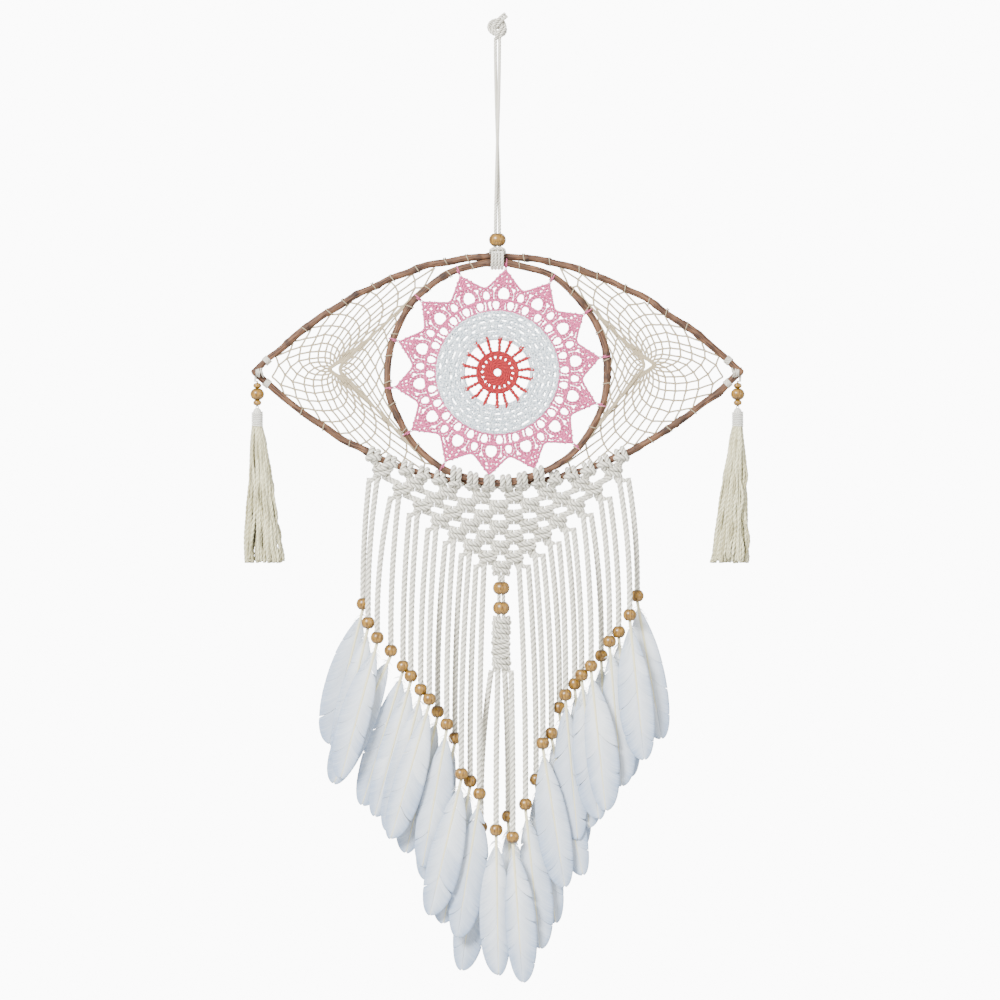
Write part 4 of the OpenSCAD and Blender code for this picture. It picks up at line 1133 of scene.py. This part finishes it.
def feathers(bases, leans, seed):
    """Feathers at bases (f, 3). A clump is a shell whose rows are barbs: each barb runs from its
    root on the shaft to the vane's edge further down, with its tip bent to the end. Rows stand
    alternately high and low, the shell thins to its edge, and clumps narrow towards their tips."""
    rng = np.random.default_rng(seed)
    f = len(bases)
    cuts = np.linspace(0, 1, CLUMPS + 1) + rng.uniform(-0.35, 0.35, (f, 2, CLUMPS + 1)) / CLUMPS
    cuts[..., 0], cuts[..., -1] = 0.035, 0.998
    row = np.linspace(0, 1, BARBS)
    t = cuts[..., :-1, None] + (cuts[..., 1:] - cuts[..., :-1])[..., None] * row
    middle = (cuts[..., 1:] + cuts[..., :-1])[..., None] / 2
    slit = 0.01 + 0.16 * rng.uniform(0, 1, (f, 2, CLUMPS, 1)) ** 6
    narrow = rng.uniform(0.88, 1.0, (f, 1)) * np.array([1.0, 1.0])
    narrow[np.arange(f), rng.integers(0, 2, f)] *= 0.74
    short = 1 - 0.025 * rng.uniform(0, 1, (f, 2, CLUMPS, 1)) - slit * 0.5 * np.abs(2 * row - 1) ** 6 \
        - 0.012 * rng.uniform(0, 1, t.shape)
    half = vane_half(t) * narrow[..., None, None] * short
    edge_t = middle + (t - middle) * (1 - slit)
    drop = np.minimum(0.9 * half / VANE, 0.8 * t)
    root_t = np.minimum(t - drop, 0.99)
    v = EDGE
    hand = np.array([-1.0, 1.0])[None, :, None, None, None]
    x = half[..., None] * v * hand * (1 - 0.06 * np.sin(np.pi * v))
    t = t[..., None]
    z = -VANE * (root_t[..., None] * (1 - v) + (t * (1 - v) + edge_t[..., None] * v) * v
                 + (t - root_t[..., None]) * v * (1 - v) * 0.55)
    lift = rng.normal(0, 0.10 * MM, (f, 2, CLUMPS, 1, 1)) * v ** 2
    camber = (0.6 * v ** 2 - 0.2 * v) * MM
    ridge = np.where(np.arange(BARBS) % 2 == 0, -0.035, 0.035)[:, None] * MM * (1 - 0.3 * v)
    thick = (0.42 * (1 - v) + 0.10) * MM
    thick = thick * np.sin(np.pi * np.clip(row * 1.0, 0.04, 0.96))[:, None] ** 0.25
    middle_y = lift + camber + ridge
    front = np.stack(np.broadcast_arrays(x, middle_y - thick / 2, z), axis=-1)
    back = np.stack(np.broadcast_arrays(x, middle_y + thick / 2, z), axis=-1)
    left = np.concatenate([front[:, 0], back[:, 0, :, :, ::-1]], axis=-2)
    right = np.concatenate([back[:, 1], front[:, 1, :, :, ::-1]], axis=-2)
    shells = np.stack([left, right], axis=1).reshape(f, 2 * CLUMPS, BARBS, 2 * len(v), 3)
    twist = rng.normal(0, 0.015, f)[:, None, None, None]
    bow = rng.uniform(0.0, 0.3, f)[:, None, None, None] * MM
    lean = leans[:, None, None, None]
    base = bases[:, None, None, None]
    placed = laid(shells, base, lean, twist, bow)
    m = f * 2 * CLUMPS
    shape = skin(placed.reshape(m, BARBS, 2 * len(v), 3))
    # Each vertex keeps its barb's place along the shaft, and its distance out along the barb.
    out = np.concatenate([v, v[::-1]])
    own_place = np.arange(f)[:, None, None, None, None] * 0.3
    along_shaft = t[..., :1] * VANE + own_place
    across = np.broadcast_to(along_shaft, (f, 2, CLUMPS, BARBS, 2 * len(v)))
    reach = half[..., None] * out
    strand = np.stack([across, np.zeros_like(across), np.broadcast_to(reach, across.shape)],
                      axis=-1).reshape(-1, 3)
    # Painted shade: crest falls from the shaft out to the vane's edge and towards the tip, so the material
    # turns blue-grey there; a random tone per clump and per feather is laid over it.
    crest = np.broadcast_to(np.clip(1.0 - 0.75 * out ** 1.5 - 0.5 * t ** 2.5
                                    + 0.08 * rng.normal(0, 1, (f, 2, CLUMPS, 1, 1)), 0.05, 1)
                            * rng.uniform(0.55, 1, (f, 1, 1, 1, 1)), across.shape)
    strand_ends = strand.reshape(m, BARBS, -1, 3)[:, [0, -1], 0].reshape(-1, 3)
    shape["strand"] = np.concatenate([strand, strand_ends])
    shape["crest"] = np.concatenate([crest.reshape(-1), np.full(2 * m, 0.6)])
    # Down at the base: soft single barbs that curl out from the shaft.
    tufts = 26
    root = rng.uniform(0.0, 0.13, (f, tufts, 1)) * VANE
    reach = rng.uniform(3, 8, (f, tufts, 1)) * MM
    sweep = np.linspace(0, 1, 7)
    sign = np.where(np.arange(tufts) % 2 == 0, -1.0, 1.0)[:, None]
    curl = rng.uniform(-0.2, 0.9, (f, tufts, 1))
    down = np.stack([sign * reach * np.sin(1.3 * sweep) * 0.8,
                     rng.normal(0, 1.0 * MM, (f, tufts, 1)) * sweep,
                     -root - reach * (sweep ** 1.4) * (0.35 + curl)], axis=-1)
    down = laid(down, bases[:, None, None], leans[:, None, None], twist[..., 0], bow[..., 0])
    fluff = sheath(down.reshape(f * tufts, 7, 3), 0.26 * MM * (1.15 - sweep), sides=5)
    fluff["crest"][:] = 0.8
    return gather(shape, fluff)


def shafts(bases, leans):
    """Feather shafts: a quill, oval in section, that tapers from the bead to the vane's tip. Its radius
    at an angle is wide * deep / the root of (deep * cos) ** 2 + (wide * sin) ** 2."""
    f = len(bases)
    t = np.linspace(0, 1, 40)
    line = np.stack([0 * t, -0.12 * MM + 0 * t, QUILL - (QUILL + 0.982 * VANE) * t], axis=-1)
    lines = laid(np.broadcast_to(line, (f, 40, 3)), bases[:, None], leans[:, None], 0.0, 0.15 * MM)
    angle = np.linspace(0, 2 * np.pi, 12, endpoint=False)
    oval = 1.25 * 0.6 / np.sqrt((0.6 * np.cos(angle)) ** 2 + (1.25 * np.sin(angle)) ** 2)
    radius = ((1.0 - 0.78 * t ** 0.8) * MM)[None, :, None] * oval
    return sheath(lines, np.broadcast_to(radius, (f, 40, 12)), sides=12)


# Painted shade: dark is the blue-grey shade that the crest mask lays towards the vanes' edges and tips.
feather_white = spun("goose_feather", light=(0.84, 0.88, 0.90), dark=(0.27, 0.37, 0.54), across=2200,
                     along=45, rough=0.6, sheen=0.25, bump=0.5, depth=0.0002)
quill_cream = spun("quill_cream", light=(0.86, 0.80, 0.52), dark=(0.62, 0.54, 0.26), across=900, along=60,
                   rough=0.35, sheen=0.0, bump=0.1)
for k, group in enumerate(ROPES):
    body = "drop_%d" % (k + 1)
    table = np.array(group, float)
    leans = np.radians(table[:, 4])
    tops = table[:, 1:4] * MM - (0, 0, INTO_BEAD + 0.1 * MM)
    bases = tops + QUILL * np.stack([np.sin(leans) * 1.0, 0 * leans, -np.cos(leans)], axis=1)
    piece(body + "_feather_vanes", feathers(bases, leans, 200 + k), feather_white, body,
          [body + "_feathers"])
    piece(body + "_feather_shafts", shafts(bases, leans), quill_cream, body, ())


# ---- Side tassels: silky cream threads under three beads at each tip ----
# A hank of soft viscose thread is hung from a waxed thread, folded over and bound, and its ends
# flare towards the middle. A round wooden bead and two small ones sit above the binding.
TASSEL_THREADS = 92
THREAD_POINTS = 100
BUNDLE_RADIUS = 3.3 * MM
SKIRT_LEAN = 5.5 * MM
SKIRT_HALF = np.array([14.4, 8.6]) * MM
THREAD_BORE = 2.0 * MM
BINDING_TURNS = 8
silk = spun("tassel_silk", light=(0.90, 0.86, 0.56), dark=(0.22, 0.18, 0.045), across=1800, along=35,
            rough=0.42, sheen=0.6, bump=0.3)
binding_white = spun("binding_thread", light=(0.90, 0.89, 0.82), dark=(0.40, 0.38, 0.30), across=2600,
                     along=300, rough=0.6, sheen=0.3)


def skirt(top, low, high, side, seed):
    """Threads of a tassel: they leave a small round bundle at the top, first quickly by a sine and
    then with the 1.15th power of the fall, and end spread over an oblong that leans to the middle,
    with slow waves. crest is scaled by a tone of the thread's own."""
    rng = np.random.default_rng(seed)
    n = TASSEL_THREADS
    angle = rng.uniform(0, 2 * np.pi, n)
    share = np.sqrt(rng.uniform(0.0, 1, n))
    share[: n // 2] = rng.uniform(0.86, 1, n // 2)
    t = np.linspace(0, 1, THREAD_POINTS)
    end_middle = np.array([top[0] - side * SKIRT_LEAN, (low[1] + high[1]) / 2])
    end = np.stack([end_middle[0] + share * SKIRT_HALF[0] * np.cos(angle),
                    end_middle[1] + share * SKIRT_HALF[1] * np.sin(angle)],
                   axis=1)
    start = np.stack([top[0] + BUNDLE_RADIUS * share * np.cos(angle),
                      top[1] + BUNDLE_RADIUS * share * np.sin(angle)],
                     axis=1)
    ease = 0.105 * np.sin(np.pi / 2 * np.minimum(t * 6, 1)) + 0.895 * t ** 1.15
    waves = rng.normal(0, 1.0 * MM, (n, 1, 2)) * np.minimum(3 * t, 1)[:, None] \
        * np.sin(2 * np.pi * (t[:, None] * rng.uniform(1.0, 3.2, (n, 1, 1)) + rng.uniform(0, 1, (n, 1, 1))))
    flat = start[:, None] + (end - start)[:, None] * ease[:, None] + waves
    fall = (top[2] - low[2]) * (1 - 0.06 * rng.uniform(0, 1, (n, 1)) ** 2)
    lines = np.concatenate([flat, (top[2] - fall * t)[..., None]], axis=-1)
    thick = rng.uniform(0.95, 1.3,
                        (n, 1)) * MM * (0.72 + 0.35 * np.sin(np.pi * np.minimum(t * 1.2, 1) * 0.5))
    shape = sheath(lines, thick, sides=7, plies=2, groove=0.3, pitch=8 * MM, phase=rng.uniform(0, 6.28, n))
    tone = rng.uniform(0.25, 1.0, n)
    crest = shape["crest"]
    crest *= np.concatenate([np.repeat(tone, len(crest[:-2 * n]) // n), np.repeat(tone, 2)])
    return shape


for side, name in ((-1, "left"), (1, "right")):
    for bead_name, seed, flat in (("upper_bead", 91, 0.48), ("round_bead", 92, 0.42),
                                  ("lower_bead", 93, 0.58)):
        node = "%s_tassel_%s" % (name, bead_name)
        low, high = (np.array(c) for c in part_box(node))
        piece(node + "_turned", turned_bead((low + high) / 2, high[0] - low[0], high[2] - low[2],
                                            THREAD_BORE,
                                            seed + side,
                                            flat=flat), wood, name + "_tassel_beads", [node])
    low, high = (np.array(c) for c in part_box(name + "_tassel_cord"))
    middle = (low + high) / 2
    line = np.stack([np.full(40, middle[0]), np.full(40, middle[1]), np.linspace(high[2], low[2], 40)],
                    axis=1)
    thread = sheath(line[None], 0.85 * MM, sides=10, plies=2, pitch=4 * MM)
    piece(name + "_tassel_thread", thread, net_thread, name + "_tassel_beads", [name + "_tassel_cord"])

    low, high = (np.array(c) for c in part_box(name + "_tassel_binding"))
    axis = (low + high) / 2
    across = (high[0] - low[0]) / 2
    t = np.linspace(0, 1, 26)
    dome = np.sqrt(np.clip(1 - (1 - np.minimum(t / 0.28, 1)) ** 2, 0.02, 1))
    core = np.stack([np.full(26, axis[0]), np.full(26, axis[1]), high[2] + (low[2] - high[2]) * t], axis=1)
    u = np.linspace(0, 1, BINDING_TURNS * 30)
    spiral_z = high[2] - 3.4 * MM - (high[2] - low[2] - 3.9 * MM) * u
    spiral = np.stack([axis[0] + (across - 0.3 * MM) * np.cos(2 * np.pi * BINDING_TURNS * u),
                       axis[1] + (across - 0.3 * MM) * np.sin(2 * np.pi * BINDING_TURNS * u), spiral_z],
                       axis=1)
    turn = np.linspace(0, 2 * np.pi, 40, endpoint=False)
    knot_eye = np.stack([axis[0] + 1.0 * MM * np.cos(turn), np.full(40, axis[1]),
                         high[2] + 0.35 * MM + 1.2 * MM * np.sin(turn)], axis=1)
    binding = gather(sheath(core[None], (across - 0.85 * MM) * dome, sides=24, plies=12, groove=0.06,
                            pitch=60 * MM),
                     sheath(spiral[None], 0.62 * MM, sides=8, plies=2, pitch=4 * MM),
                     sheath(knot_eye[None], 0.42 * MM, sides=8, facing=FRONT, plies=2, pitch=2.6 * MM,
                            closed=True))
    piece(name + "_tassel_binding_thread", binding, binding_white, name + "_tassel",
          [name + "_tassel_binding"])

    skirt_low, skirt_high = (np.array(c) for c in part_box(name + "_tassel_skirt"))
    top = np.array([axis[0], axis[1], skirt_high[2] + 1.5 * MM])
    piece(name + "_tassel_skirt_threads", skirt(top, skirt_low, skirt_high, side, 95 + side), silk,
          name + "_tassel", [name + "_tassel_skirt"])


# ---- Sizes of the finished object ----
({"cad": [list(map(float, c)) for c in (cad_low, cad_high)],
           "visual": [list(map(float, c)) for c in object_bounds()]})
